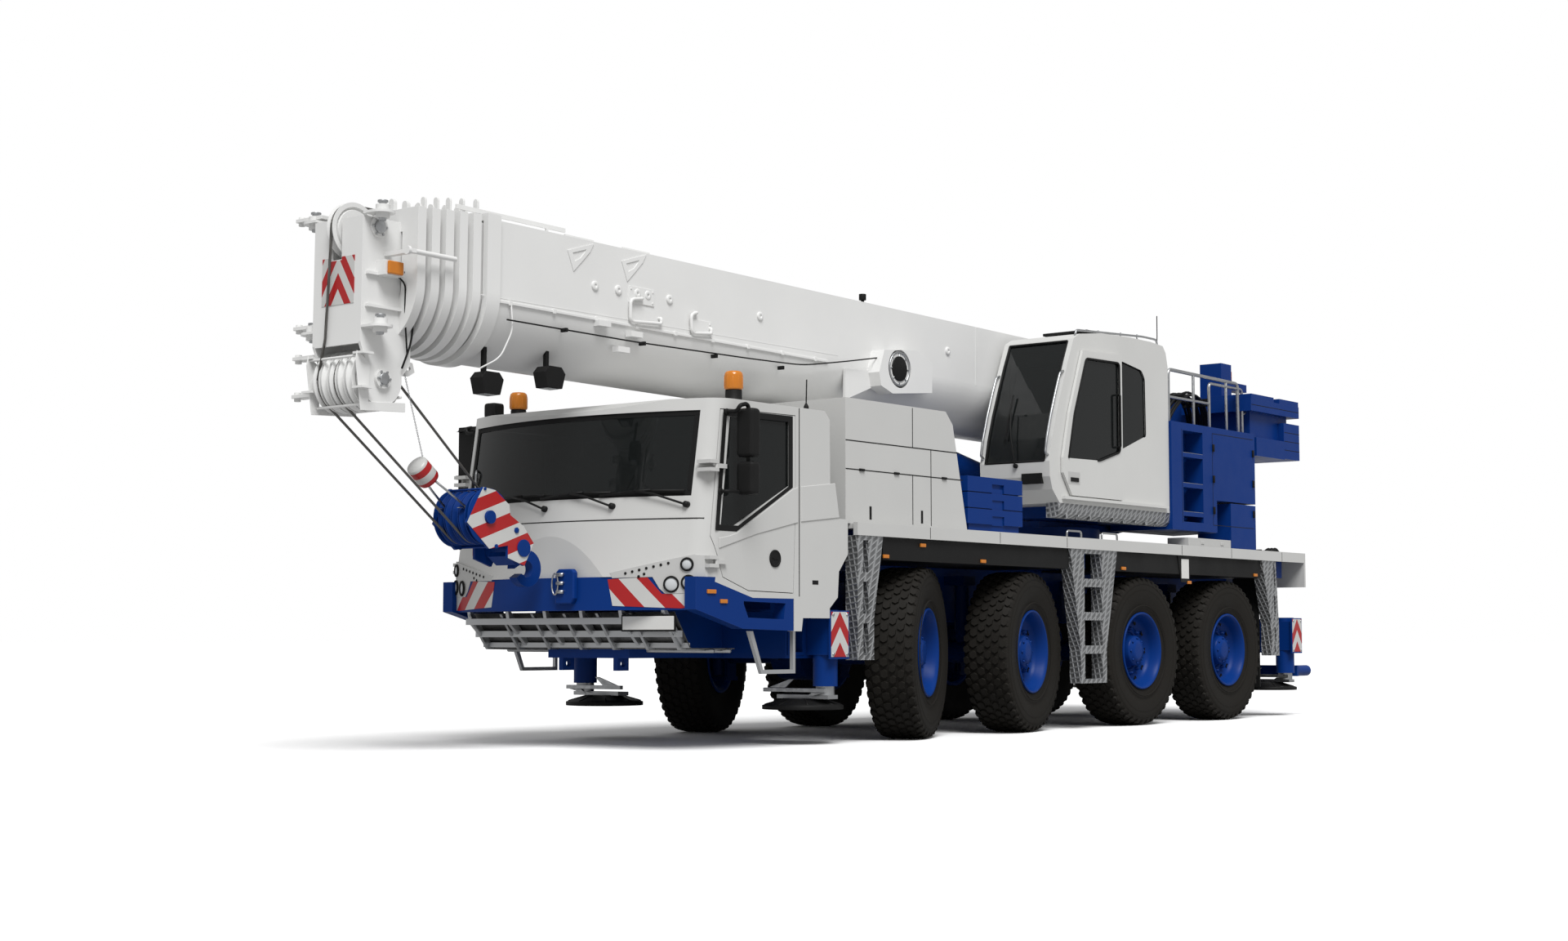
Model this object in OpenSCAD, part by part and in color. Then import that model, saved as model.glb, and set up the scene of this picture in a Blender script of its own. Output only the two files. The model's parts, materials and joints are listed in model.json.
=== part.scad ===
// Four-axle all-terrain crane with a six-part telescopic boom, millimetres.
// X forward, Y left, Z up. Lengths along X are given from the first axle;
// the origin is on the ground under mid-length, mid_x behind that axle.

/* [Carrier] */
// Distance from the first axle back to mid-length
mid_x = 1057; // [1000:1:1100]
// Half the deck's width over its rails
deck_half_w = 1275; // [1265:1:1285]
// Height of the deck's top face
deck_z = 1645; // [1640:1:1655]
// Rear end of the deck
deck_rear_x = -6720; // [-6750:1:-6700]
// Half the width of the welded frame box
frame_half_w = 400; // [360:1:410]
// Half the width of the driver's cab
cab_half_w = 1250; // [1240:1:1255]
// Height of the driver's cab roof
cab_top_z = 2445; // [2435:1:2460]
// Wall thickness of the driver's cab
cab_wall = 60; // [50:1:70]

/* [Wheels] */
// Tyre outer radius to the tips of the tread
tyre_r = 670; // [660:1:675]
// Tyre width
tyre_w = 385; // [375:1:390]
// Distance from the middle plane to a tyre's middle
wheel_y = 1025; // [1020:1:1030]
// Distance from the middle plane to a steering pin
kingpin_y = 880; // [875:1:885]
// Radius of a steering pin
kingpin_r = 45; // [40:1:48]

/* [Superstructure] */
// Slewing axis
slew_x = -3400; // [-3405:1:-3395]
// Boom pivot, along X
pivot_x = -5150; // [-5160:1:-5140]
// Boom pivot height
pivot_z = 2990; // [2985:1:2995]
// Foot pin of the luffing cylinder, along X
foot_x = -3780; // [-3790:1:-3770]
// Foot pin height of the luffing cylinder
foot_z = 2010; // [2005:1:2020]
// Radius of the foot pin and rod pin
luff_pin_r = 60; // [55:1:62]

/* [Boom] */
// Width of the boom's base section
boom_w = 840; // [830:1:850]
// Height of the boom's base section
boom_h = 930; // [920:1:940]
// Wall thickness of every boom section
boom_wall = 16; // [14:1:18]
// Loss of width and height from one section to the next
boom_step = 60; // [56:1:62]
// Underside of the base section at the pivot
boom_bottom_z = 2552; // [2548:1:2556]
// Rest angle of the boom above level, degrees
boom_rise = 0.6; // [0.5:0.05:0.7]
// Front collar of the base section
boom_front_x = 3900; // [3890:1:3910]

/* [Outriggers] */
// Height of an outrigger beam
beam_h = 290; // [280:1:295]
// Width of an outrigger beam
beam_w = 190; // [180:1:195]
// Bottom of the outrigger beams
beam_z = 660; // [655:1:665]
// Largest radius of a ground pad
pad_r = 300; // [290:1:305]

/* [Hidden] */
$fn = 48;

blue = [0.05, 0.19, 0.52];
white = [0.80, 0.80, 0.78];
zinc = [0.62, 0.63, 0.64];
black = [0.06, 0.06, 0.06];
glass = [0.10, 0.12, 0.12, 0.6];
seat = 0.3;

// Axles: place along X, rest steering angle of the left and of the right wheel
AXLE_X = 0;
AXLE_LEFT = 1;
AXLE_RIGHT = 2;
axles_at = [[0, 22, 21], [-1560, 11, 9.2], [-3470, 0, 0], [-5150, 0, 0]];
hub_z = tyre_r;

// Puts a shape that is measured from the first axle into the machine's frame
module from_axle_1() {
  translate([mid_x, 0, 0]) children();
}

// Box from its low and high limits on each axis
module block(x, y, z) {
  translate([x[0], y[0], z[0]]) cube([x[1] - x[0], y[1] - y[0], z[1] - z[0]]);
}

// The shape and its mirror image on the other side
module both_sides() {
  children();
  mirror([0, 1, 0]) children();
}

// Plate whose outline is given in X and Z, between two places along Y
module side_plate(y, points) {
  translate([0, y[1], 0]) rotate([90, 0, 0]) linear_extrude(y[1] - y[0]) polygon(points);
}

// Round bars along each axis
module bar_x(x, y, z, r) {
  translate([x[0], y, z]) rotate([0, 90, 0]) cylinder(h = x[1] - x[0], r = r);
}
module bar_y(x, y, z, r) {
  translate([x, y[0], z]) rotate([-90, 0, 0]) cylinder(h = y[1] - y[0], r = r);
}
module bar_z(x, y, z, r) {
  translate([x, y, z[0]]) cylinder(h = z[1] - z[0], r = r);
}

// Round rod between two points in a plane of constant Y
module rod(from, to, y, r) {
  run = to - from;
  translate([from[0], y, from[1]])
    rotate([0, 90 - atan2(run[1], run[0]), 0]) cylinder(h = norm(run), r = r);
}

// Carrier frame
frame_z = [930, 1400];
front_frame_z = [640, 1000];
box_front_x = [1030, 1480];
box_rear_x = [-6690, -6240];
box_wall = 20;
box_half_y = 1010;
ring_r = 690;
ring_z = [frame_z[1], 1700];
// Outrigger beams: name, middle along X, side, along which the beam runs out
BEAM_X = 0;
BEAM_SIDE = 1;
beam_fl_at = [1135, 1];
beam_fr_at = [1365, -1];
beam_rl_at = [-6575, 1];
beam_rr_at = [-6355, -1];
beam_slot = 5;

module beam_slot_cut(at) {
  block([at[BEAM_X] - beam_w / 2 - beam_slot, at[BEAM_X] + beam_w / 2 + beam_slot],
        [-box_half_y - 1, box_half_y + 1],
        [beam_z - beam_slot, beam_z + beam_h + beam_slot]);
}

module outrigger_box(x, at_a, at_b) {
  difference() {
    block(x, [-box_half_y, box_half_y],
          [beam_z - beam_slot - box_wall, beam_z + beam_h + beam_slot + box_wall]);
    beam_slot_cut(at_a);
    beam_slot_cut(at_b);
  }
  // Wear strips under the beams
  for (at = [at_a, at_b]) both_sides()
    block([at[BEAM_X] - beam_w / 2, at[BEAM_X] + beam_w / 2], [box_half_y - 60, box_half_y],
          [beam_z - beam_slot - 1, beam_z - seat]);
}

tow_lug_at = [2440, 600];
tow_pin_at = [-6905, 810];
module chassis() {
  color(blue) from_axle_1() {
    difference() {
      block([deck_rear_x + 10 + seat, 900], [-frame_half_w, frame_half_w], frame_z);
      block([-6200, 700], [-frame_half_w + 40, frame_half_w - 40], [frame_z[0] - 1, frame_z[1] - 40]);
      beam_slot_cut(beam_rl_at);
      beam_slot_cut(beam_rr_at);
    }
    difference() {
      block([700, 2500], [-frame_half_w, frame_half_w], front_frame_z);
      beam_slot_cut(beam_fl_at);
      beam_slot_cut(beam_fr_at);
    }
    block([700, 900], [-frame_half_w, frame_half_w], [front_frame_z[0], frame_z[1]]);
    outrigger_box(box_front_x, beam_fl_at, beam_fr_at);
    outrigger_box(box_rear_x, beam_rl_at, beam_rr_at);
    bar_z(slew_x, 0, ring_z, ring_r);
    both_sides() {
      // Brackets that carry the deck
      for (x = [-6400, -4310, -2500, -780, 700])
        block([x - 60, x + 60], [frame_half_w - 10, 1145], [frame_z[1] - 10, 1600 - seat]);
      bar_x([-7020, -6700], 1130, 450, 55);
    }
    // Rear cross plate and tow coupling
    block([-6725, -6695], [-1185, 1185], [395, 505]);
    block([-6725, -6685], [-420, 420], [395, 900]);
    block([-6860, -6690], [-90, 90], [720, 900]);
    difference() {
      block([-6960, -6850], [-75, 75], [765, 855]);
      bar_z(tow_pin_at[0], 0, [700, 900], 20);
    }
    // Locker on the deck behind the cabinet
    block([-5740, -5210], [860, 1220], [deck_z - 8 + seat, tail_z - 15]);
    // Front tow lugs
    both_sides() difference() {
      block([2380, 2500], [250, 290], [550, front_frame_z[0] + 20]);
      bar_y(tow_lug_at[0], [200, 300], tow_lug_at[1], 25);
    }
  }
}

module engine() {
  color([0.35, 0.36, 0.37]) from_axle_1()
    block([-300, 880], [-370, 370], [frame_z[1] + seat, 2350]);
}

// Axle beams with their drive housings, yokes and spring cylinders
yoke_z = [205, 238];
module axle_beam(x) {
  translate([x, 0, hub_z]) {
    bar_y(0, [-770, 770], 0, 95);
    bar_y(0, [-150, 150], 0, 225);
    bar_x([-330, 330], 0, 0, 60);
    both_sides() {
      block([-55, 55], [735, 770], [-yoke_z[1], yoke_z[1]]);
      for (s = [-1, 1]) difference() {
        block([-75, 75], [735, 930], s > 0 ? [yoke_z[0], yoke_z[1]] : [-yoke_z[1], -yoke_z[0]]);
        bar_z(0, kingpin_y, [-300, 300], kingpin_r + 0.05);
      }
      // Spring cylinder up to the frame's bracket
      bar_z(0, 520, [60, 560], 60);
      block([-90, 90], [frame_half_w + seat, 600], [560, 640]);
    }
  }
}

module axles() {
  color([0.05, 0.10, 0.24]) from_axle_1()
    for (a = axles_at) axle_beam(a[AXLE_X]);
}

// Steering knuckle with its pin, spindle, brake and arm, for the left side
steer_arm_z = [-140, -105];
module knuckle_shape() {
  bar_z(0, 0, [-235, 235], kingpin_r);
  bar_z(0, 0, [-198, 198], 72);
  bar_y(0, [0, wheel_y - kingpin_y - 10 - seat], 0, 70);
  bar_y(0, [52, 108], 0, 190);
  block([-290, 0], [-50, -17], steer_arm_z);
}

module knuckle(axle, side) {
  a = axles_at[axle];
  color([0.05, 0.10, 0.24]) from_axle_1()
    translate([a[AXLE_X], side * kingpin_y, hub_z])
      rotate([0, 0, side > 0 ? a[AXLE_LEFT] : a[AXLE_RIGHT]])
        mirror([0, side > 0 ? 0 : 1, 0]) knuckle_shape();
}

// Tyre and rim, seen from the rim's middle, with the outer side to +Y
module wheel_shape() {
  half = tyre_w / 2;
  bead_r = 318;
  color([0.09, 0.08, 0.07]) rotate([-90, 0, 0]) rotate_extrude($fn = 96)
    polygon([[bead_r, -140], [bead_r + 14, -160], [450, -half + 4], [560, -half], [tyre_r - 24, -half + 14],
             [tyre_r, -half + 42], [tyre_r, half - 42], [tyre_r - 24, half - 14], [560, half],
             [450, half - 4], [bead_r + 14, 160], [bead_r, 140]]);
  color(blue) rotate([-90, 0, 0]) difference() {
    union() {
      rotate_extrude($fn = 96)
        polygon([[0, -10], [255, -10], [275, -40], [283, -150], [bead_r - seat, -150], [bead_r - seat, 150],
                 [345, 161], [345, 175], [305, 175], [290, 120], [272, 40], [240, 16], [150, 14],
                 [138, 20], [128, 110], [100, 135], [0, 138]]);
      for (i = [0:9]) rotate([0, 0, 36 * i]) translate([200, 0, 10]) cylinder(h = 34, r = 15);
    }
    translate([0, 0, -20]) cylinder(h = 60, r = 60);
  }
}

module wheel(axle, side) {
  a = axles_at[axle];
  from_axle_1()
    translate([a[AXLE_X], side * kingpin_y, hub_z])
      rotate([0, 0, side > 0 ? a[AXLE_LEFT] : a[AXLE_RIGHT]])
        mirror([0, side > 0 ? 0 : 1, 0])
          translate([0, wheel_y - kingpin_y, 0]) wheel_shape();
}

// Driver's cab: side outline, front bowed by a leaning cylinder
cab_bow_r = 3000;
cab_corner_r = 200;
cab_front_x = 2905;
cab_lean = 9;
cab_lean_z = 1500;
cab_floor_z = 1064;
cab_nose_z = 1205;
sill_x = [2150, 2705];
cab_outline = [
  [1245, cab_floor_z], [1260, cab_top_z - 60], [1320, cab_top_z], [2620, cab_top_z], [2780, 2380],
  [2880, 1730], [2905, 1600], [2905, cab_nose_z], [sill_x[1], cab_nose_z], [sill_x[0], cab_floor_z]
];
// Wing of the cab's side that reaches down and back towards the wheel arch
cab_wing = [[1596, 832], [1580, 927], [1262, 927], [1262, 1000], [1165, 1080], [1150, 1270], [1040, 1400],
            [1040, 1660], [1300, 1660], [1684, 1100], [1684, 832]];
// Upright prism with a bowed front and rounded front corners, its front at x = 0
module bow(inset, z) {
  reach = cab_bow_r - cab_corner_r;
  corner_y = cab_half_w - cab_corner_r;
  corner_x = sqrt(reach * reach - corner_y * corner_y) - cab_bow_r;
  r = cab_corner_r - inset;
  difference() {
    bar_bow(z, cab_bow_r - inset);
    both_sides() difference() {
      block([corner_x, 300], [corner_y * (1 + r / reach), cab_half_w + 300], [z[0] - 1, z[1] + 1]);
      bar_z(corner_x, corner_y, [z[0] - 2, z[1] + 2], r);
    }
  }
}
module bar_bow(z, r) {
  translate([-cab_bow_r, 0, z[0]]) cylinder(h = z[1] - z[0], r = r, $fn = 360);
}
module cab_solid(inset) {
  intersection() {
    translate([0, cab_half_w - inset, 0]) rotate([90, 0, 0])
      linear_extrude(2 * (cab_half_w - inset)) offset(delta = -inset) polygon(cab_outline);
    translate([cab_front_x, 0, cab_lean_z]) rotate([0, -cab_lean, 0]) bow(inset, [-1200, 1800]);
  }
}

// Door outline and its window, in X and Z
door_outline = [[1690, 1100], [2200, 1110], [2480, 1200], [2590, 1480], [2470, 2370], [1665, 2385], [1665, 1700]];
door_window = [[1735, 1870], [2350, 1560], [2500, 1560], [2400, 2320], [1735, 2335]];
screen_z = [1760, 2360];
screen_half_y = cab_half_w - 140;

// The shell is cut deeper than the door, for the front edge that swings inwards
door_depth = cab_wall + 30;
door_swing_room = 25;
module door_prism(side, gap, depth = door_depth) {
  translate([0, side > 0 ? cab_half_w + 20 : -cab_half_w - 20 + depth, 0]) rotate([90, 0, 0])
    linear_extrude(depth) offset(delta = -gap) polygon(door_outline);
}

module door_window_cut(side, gap) {
  translate([0, side > 0 ? cab_half_w + 20 : -cab_half_w + cab_wall + 10, 0]) rotate([90, 0, 0])
    linear_extrude(cab_wall + 30) offset(delta = -gap) polygon(door_window);
}

module screen_cut(gap) {
  block([2300, 3100], [-screen_half_y + gap, screen_half_y - gap], [screen_z[0] + gap, screen_z[1] - gap]);
}

hinge_x = 2560;
hinge_y = cab_half_w + 12;
hinge_z = [1290, 1950];
hinge_r = 8;
hinge_eye_r = 11.5;
module cab_shell() {
  color(white) from_axle_1() {
    difference() {
      union() {
        cab_solid(0);
        both_sides() side_plate([cab_half_w - cab_wall, cab_half_w], cab_wing);
      }
      // Way out for the right-hand outrigger beam
      block([1240, beam_fr_at[BEAM_X] + 130], [-cab_half_w - 1, -1000], [600, 1020]);
      cab_solid(cab_wall);
      screen_cut(0);
      for (side = [-1, 1]) door_prism(side, 0, door_depth + door_swing_room);
    }
    both_sides() for (z = hinge_z) {
      bar_z(hinge_x, hinge_y, [z - 20, z + 50], hinge_r);
      for (z0 = [z - 25, z + 30 + seat])
        block([2545, 2640], [hinge_y - 110, hinge_y + 13], [z0, z0 + 25 - seat]);
    }
  }
}

module cab_glass() {
  color(glass) from_axle_1() intersection() {
    difference() {
      cab_solid(14);
      cab_solid(22);
    }
    screen_cut(seat);
  }
}

module cab_door(side) {
  color(white) from_axle_1() difference() {
    intersection() {
      difference() {
        cab_solid(0);
        cab_solid(cab_wall - 12);
      }
      door_prism(side, 6);
    }
    door_window_cut(side, 0);
  }
  color(white) from_axle_1() mirror([0, side > 0 ? 0 : 1, 0])
    for (z = hinge_z) difference() {
      union() {
        bar_z(hinge_x, hinge_y, [z, z + 30], hinge_eye_r);
        block([2460, hinge_x], [hinge_y - hinge_eye_r, hinge_y + hinge_eye_r], [z, z + 30]);
        block([2460, 2500], [hinge_y - 45, hinge_y + hinge_eye_r], [z, z + 30]);
      }
      bar_z(hinge_x, hinge_y, [z - 5, z + 40], hinge_r + 0.05);
    }
}

module cab_door_glass(side) {
  color(glass) from_axle_1() intersection() {
    difference() {
      cab_solid(14);
      cab_solid(22);
    }
    door_window_cut(side, seat);
  }
}

module door_left() { cab_door(1); }
module door_right() { cab_door(-1); }
module door_left_glass() { cab_door_glass(1); }
module door_right_glass() { cab_door_glass(-1); }

// Seats, dash, steering wheel and column, on the cab floor
seat_y = [-760, 520];
// Height of the cab's inner floor over the rising sill
sill_slope = (cab_nose_z - cab_floor_z) / (sill_x[1] - sill_x[0]);
function sill_floor(x) = cab_floor_z + (x - sill_x[0]) * sill_slope + cab_wall / cos(atan(sill_slope)) + seat;
module cab_interior() {
  floor_z = cab_floor_z + cab_wall + seat;
  color([0.12, 0.12, 0.13]) from_axle_1() {
    for (y = seat_y) {
      block([1560, 2080], [y - 250, y + 250], [floor_z, floor_z + 330]);
      block([1500, 1650], [y - 240, y + 240], [floor_z + 330, floor_z + 1000]);
      block([1510, 1610], [y - 130, y + 130], [floor_z + 1000, floor_z + 1180]);
    }
    side_plate([-1050, 1050], [[2350, sill_floor(2350)], [2520, sill_floor(2520)], [2520, 1640], [2300, 1660],
                               [2270, 1560], [2350, 1440]]);
    translate([2300, seat_y[1], 1620]) rotate([0, -62, 0]) {
      difference() {
        cylinder(h = 30, r = 230);
        translate([0, 0, -1]) cylinder(h = 32, r = 205);
      }
      block([-210, 210], [-20, 20], [0, 25]);
      translate([0, 0, -180]) cylinder(h = 200, r = 40);
    }
  }
}

// Mirrors on the door's arms, and the flap on its side
mirror_y = [cab_half_w + 50, cab_half_w + 200];
mirror_x = [2300, 2400];
module door_trim(side) {
  arm_y = cab_half_w + 120;
  skin = cab_half_w + seat;
  color(black) from_axle_1() mirror([0, side > 0 ? 0 : 1, 0]) {
    block(mirror_x, mirror_y, [2030, 2370]);
    block([mirror_x[0] + 10, mirror_x[1] - 10], [mirror_y[0], mirror_y[1] - 10], [1770, 2000]);
    bar_z(2350, arm_y, [1980, 2390], 18);
    // Upper and lower arm, from the door's frame
    block([2350, 2450], [arm_y - 12, arm_y + 12], [2335, 2357]);
    bar_y(2440, [skin, arm_y], 2346, 11);
    block([2350, 2516], [mirror_y[0] + 1, mirror_y[0] + 23], [1780, 1802]);
    bar_y(2505, [skin, mirror_y[0] + 12], 1791, 11);
    bar_y(1905, [skin, cab_half_w + 10], 1345, 62);
  }
}
module door_left_trim() { door_trim(1); }
module door_right_trim() { door_trim(-1); }

// Front bumper with its side steps
bumper_z = [975, cab_nose_z - seat];
bumper_side = [[2760, 978], [2260, 848], [1690, 835], [1690, cab_floor_z + 20], [2400, 1200], [2760, 1200]];
bumper_step = [[1780, 1030], [2260, 1040], [2200, 925], [1800, 915]];
module bumper() {
  color(blue) from_axle_1() {
    difference() {
      union() {
        intersection() {
          block([2250, 3000], [-cab_half_w, cab_half_w], bumper_z);
          translate([cab_front_x + 40, 0, 0]) bow(0, [900, 1300]);
        }
        both_sides() difference() {
          side_plate([cab_half_w - 100, cab_half_w], bumper_side);
          side_plate([cab_half_w - 101, cab_half_w + 1], bumper_step);
        }
      }
      intersection() {
        block([2200, 3000], [-cab_half_w + 100, cab_half_w - 100], [900, 1300]);
        translate([cab_front_x + 40, 0, 0]) bow(160, [890, 1310]);
      }
      cab_solid(-seat);
    }
    both_sides() block([2400, 2810], [300, 380], [front_frame_z[1] + seat, cab_floor_z]);
  }
}

// Headlamps, beacons, side markers and tail lamps
beacon_at = [2160, 1080];
module lamps() {
  color([0.9, 0.55, 0.15]) from_axle_1() both_sides() {
    block([deck_rear_x - 60, deck_rear_x - 20 - seat], [800, 1180], [1340, 1440]);
    bar_z(beacon_at[0], beacon_at[1], [cab_top_z + seat, cab_top_z + 120], 62);
    bar_z(beacon_at[0], beacon_at[1], [cab_top_z + 120, cab_top_z + 258], 56);
  }
}

// Panelled cover over the engine, open below
cover_z = deck_z - 8 + seat;
cover_outline = [[1000, cover_z], [1000, 2580], [-330, 2580], [-430, 2480], [-630, cover_z]];
module engine_cover() {
  color(white) from_axle_1() difference() {
    side_plate([-1200, 1200], cover_outline);
    translate([0, 1160, 0]) rotate([90, 0, 0]) linear_extrude(2320)
      offset(delta = -40) polygon(concat([[1000, 1400]], [for (i = [1:3]) cover_outline[i]], [[-680, 1400]]));
  }
}

// Deck plates, side rails and rear end plate
rail_z = [1548, deck_z];
module deck() {
  color(white) from_axle_1() {
    difference() {
      block([deck_rear_x, 940], [-deck_half_w + 30, deck_half_w - 30], [1600, deck_z - 8]);
      bar_z(slew_x, 0, [1500, 1800], ring_r + 40);
      block([-420, 930], [-frame_half_w, frame_half_w], [1500, 1800]);
    }
    both_sides() {
      block([deck_rear_x, 950], [deck_half_w - 40, deck_half_w], rail_z);
      block([deck_rear_x - 20, deck_rear_x + 10], [300, deck_half_w], [1300, deck_z]);
    }
  }
}

// Wheel arches and skirts
skirt_z = 1374;
skirts_at = [[-5770, -2920], [-2120, 590]];
module mudguards() {
  color(black) from_axle_1() both_sides() {
    for (x = skirts_at) {
      block(x, [deck_half_w - 60, deck_half_w - 30], [skirt_z, rail_z[0] - seat]);
      block(x, [frame_half_w + 80, deck_half_w - 55], [skirt_z, skirt_z + 15]);
    }
    // Flap behind the last wheel
    block([-5950, -5936], [860, 1140], [300, 1450]);
    block([-5950, -5760], [860, 1140], [skirt_z, skirt_z + 15]);
  }
}

// Chequer-plate ladders down both sides: top and bottom edges along X, lowest edge, openings
ladder_y = [deck_half_w - 125, deck_half_w - 13];
ladder_rim = 70;
module ladder(top, bottom, z_low, openings) {
  top_z = rail_z[0] - seat;
  pitch = (top_z - z_low) / openings;
  middle = (bottom[0] + bottom[1]) / 2;
  half = (bottom[1] - bottom[0]) / 2 - ladder_rim;
  difference() {
    side_plate(ladder_y, [[top[0], top_z], [top[1], top_z], [bottom[1], z_low + pitch],
                          [bottom[1], z_low], [bottom[0], z_low], [bottom[0], z_low + pitch]]);
    for (i = [0:openings - 1])
      block([middle - half, middle + half], [ladder_y[0] - 1, ladder_y[1] + 1],
            [z_low + pitch * i + 35, z_low + pitch * (i + 1) - 35]);
  }
}

// Stowed ladder pack below the bumper: bars along Y, each with its X and Z limits
pack_bars = [[2700, 2760, 880, 925], [2610, 2660, 790, 835], [2530, 2580, 715, 750]];
module ladder_pack() {
  for (b = pack_bars) block([b[0], b[1]], [-1000, 1000], [b[2], b[3]]);
  for (y = [-960, -560, -180, 180, 560, 960])
    side_plate([y - 15, y + 15], [[2540, 720], [2570, 720], [2650, 800], [2750, 890], [2770, 974.7], [2740, 974.7],
                                  [2620, 830], [2540, 750]]);
}

// Frame of a fold-down step below the cab's side: outer and inner edge in X and Z
step_outer = [[1611, 832 - seat], [1611, 531], [1995, 531], [2134, 832 - seat]];
step_inner = [[1639, 900], [1639, 559], [1976, 559], [2120, 900]];
module step_frame() {
  y = cab_half_w - 60;
  difference() {
    side_plate([y - 14, y + 14], step_outer);
    side_plate([y - 15, y + 15], step_inner);
  }
}

module ladders() {
  color(zinc) from_axle_1() {
    both_sides() {
      ladder([610, 935], [730, 935], 620, 3);
      ladder([skirts_at[0][1] + seat, skirts_at[1][0] - seat], [-2720, -2280], 395, 4);
      ladder([-6080, -5775], [-6130, -5960], 610, 3);
      step_frame();
    }
    ladder_pack();
  }
}

// Ballast slabs that ride on the deck
ballast_z = [1706, 1837, 1968];
module deck_ballast() {
  color(blue) from_axle_1() {
    for (z = ballast_z) difference() {
      block([-1460, -640], [500, 1200], [z, z + 122]);
      block([-1180, -1000], [1150, 1210], [z - 1, z + 70]);
    }
    block([-1430, -680], [520, 1180], [deck_z - 8 + seat, 2080]);
    block([-1170, -1010], [1100, 1190], [1700, 2000]);
  }
}

// Outrigger beam with its jack barrel and end plate, running out along +Y
jack_y = 1110;
jack_r = 70;
module beam_shape() {
  difference() {
    union() {
      block([-beam_w / 2, beam_w / 2], [-1020, 1230], [beam_z, beam_z + beam_h]);
      bar_z(0, jack_y, [430, beam_z + beam_h + 40], 92);
      block([-115, 115], [1230, 1245], [630, 985]);
    }
    bar_z(0, jack_y, [500, beam_z + beam_h], jack_r + 6);
    bar_z(0, jack_y, [400, 510], jack_r + seat);
    block([-beam_w / 2 + 20, beam_w / 2 - 20], [-1100, 980], [beam_z + 20, beam_z + beam_h - 20]);
  }
}

module jack_shape() {
  bar_z(0, jack_y, [365, beam_z + beam_h - 20], jack_r);
  block([-60, 60], [700, 1180], [335, 365]);
  translate([0, 900, 262]) cylinder(h = 25, r = pad_r);
  translate([0, 900, 287]) cylinder(h = 49, r1 = pad_r, r2 = 130);
}

module outrigger_beam(at) {
  color(blue) from_axle_1() translate([at[BEAM_X], 0, 0])
    mirror([0, at[BEAM_SIDE] > 0 ? 0 : 1, 0]) beam_shape();
}
module outrigger_jack(at) {
  color(zinc) from_axle_1() translate([at[BEAM_X], 0, 0])
    mirror([0, at[BEAM_SIDE] > 0 ? 0 : 1, 0]) jack_shape();
}

// Turning frame that carries boom, cylinder, winch and cabs
cheek_y = [446, 480];
house_z = ring_z[1] + seat;
module house() {
  color(blue) from_axle_1() {
    bar_z(slew_x, 0, [house_z, 1790], ring_r + 10);
    difference() {
      both_sides() side_plate(cheek_y, [[-2850, 1780], [-2850, 1900], [-3200, 2250], [-4700, 2500], [-4950, 3180],
                                        [-5350, 3180], [-5500, 2700], [-5300, 1950], [-4300, 1780]]);
      bar_y(pivot_x, [-600, 600], pivot_z, 90.05);
      bar_y(foot_x, [-600, 600], foot_z, luff_pin_r + 0.05);
    }
    block([-4300, -2850], [-500, 500], [1780, 1840]);
    block([-5300, -4300], [-450, 450], [1950, 2000]);
    block([-5790 + seat, -5430], [-560, 560], [2560, 2700]);
    // Winch behind the boom's foot
    bar_y(-5610, [-330, 330], 2850, 125);
    both_sides() {
      bar_y(-5610, [290, 310], 2850, 150);
      side_plate([330, 360], [[-5760, 2690], [-5440, 2690], [-5470, 2900], [-5560, 2990], [-5680, 2990], [-5760, 2900]]);
    }
    // Arms that carry the operator's cab and the cabinet
    block([-3950, -2450], [470, 1150], [1840, op_outline[0][1] - seat]);
    block([-5450, -4100], [470, 560], [tail_z, 2600]);
  }
}

// What turns stays inside tail_r below tail_z, and what stands on the deck outside it
tail_r = 1950;
tail_z = 2100;
recess_x = [-4645, -4250];
recess_z = [1870, 2730];
tread_z = [1925, 2195, 2480];
module cabinet() {
  color(blue) from_axle_1() {
    difference() {
      block([-5740, -4030], [560 + seat, 1220], [1790, 2800]);
      difference() {
        block([-5741, -4500], [500, 1300], [1700, tail_z]);
        bar_z(slew_x, 0, [1600, 2200], tail_r);
      }
      block(recess_x, [1030, 1300], recess_z);
    }
    for (z = tread_z) block([recess_x[0] - 1, recess_x[1] + 1], [1080, 1219], [z, z + 40]);
  }
}

// Slabs of the counterweight: rear and front end, half width, low and high side
weight_slabs = [[-6620, -5790, 1150, 2600, 3040], [-6420, -5790, 1220, 2590, 2775], [-6768, -6410, 1220, 2600, 2965],
                [-6768, -5680, 1220, 3035, 3155], [-6200, -5700, 1215, 3150, 3205], [-6768, -6330, 1215, 3150, 3205]];
module counterweight() {
  color(blue) from_axle_1() {
    difference() {
      union() for (c = weight_slabs) block([c[0], c[1]], [-c[2], c[2]], [c[3], c[4]]);
      block([-5795, -5600], [-450, 450], [3000, 3300]);
    }
    // Post and arm on top
    block([-6100, -5880], [560, 800], [3150, 3560]);
    block([-6560, -6090], [620, 740], [3320, 3400]);
  }
}

// Operator's cab
op_y = [490, 1195];
op_wall = 50;
op_outline = [[-2065, 1940], [-1950, 2050], [-1910, 2160], [-1905, 2290], [-1955, 2500], [-2030, 2720], [-2125, 2950],
              [-2225, 3180], [-2325, 3390], [-2430, 3440], [-2800, 3485], [-3300, 3505], [-3700, 3505], [-3930, 3490],
              [-3985, 3430], [-4020, 3300], [-4020, 1940]];
op_door_outline = [[-2230, 2010], [-2085, 2200], [-2085, 2330], [-2195, 2720], [-2430, 3290], [-3110, 3320], [-3110, 2010]];
op_window = [[-2170, 2330], [-2270, 2720], [-2480, 3225], [-3060, 3240], [-3060, 2440], [-2700, 2340]];
op_rear_window = [[-3150, 2470], [-3150, 3270], [-3520, 3220], [-3580, 3150], [-3590, 2620]];
op_back_x = [-4100, -3900];
op_back_y = [560, 1090];
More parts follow.
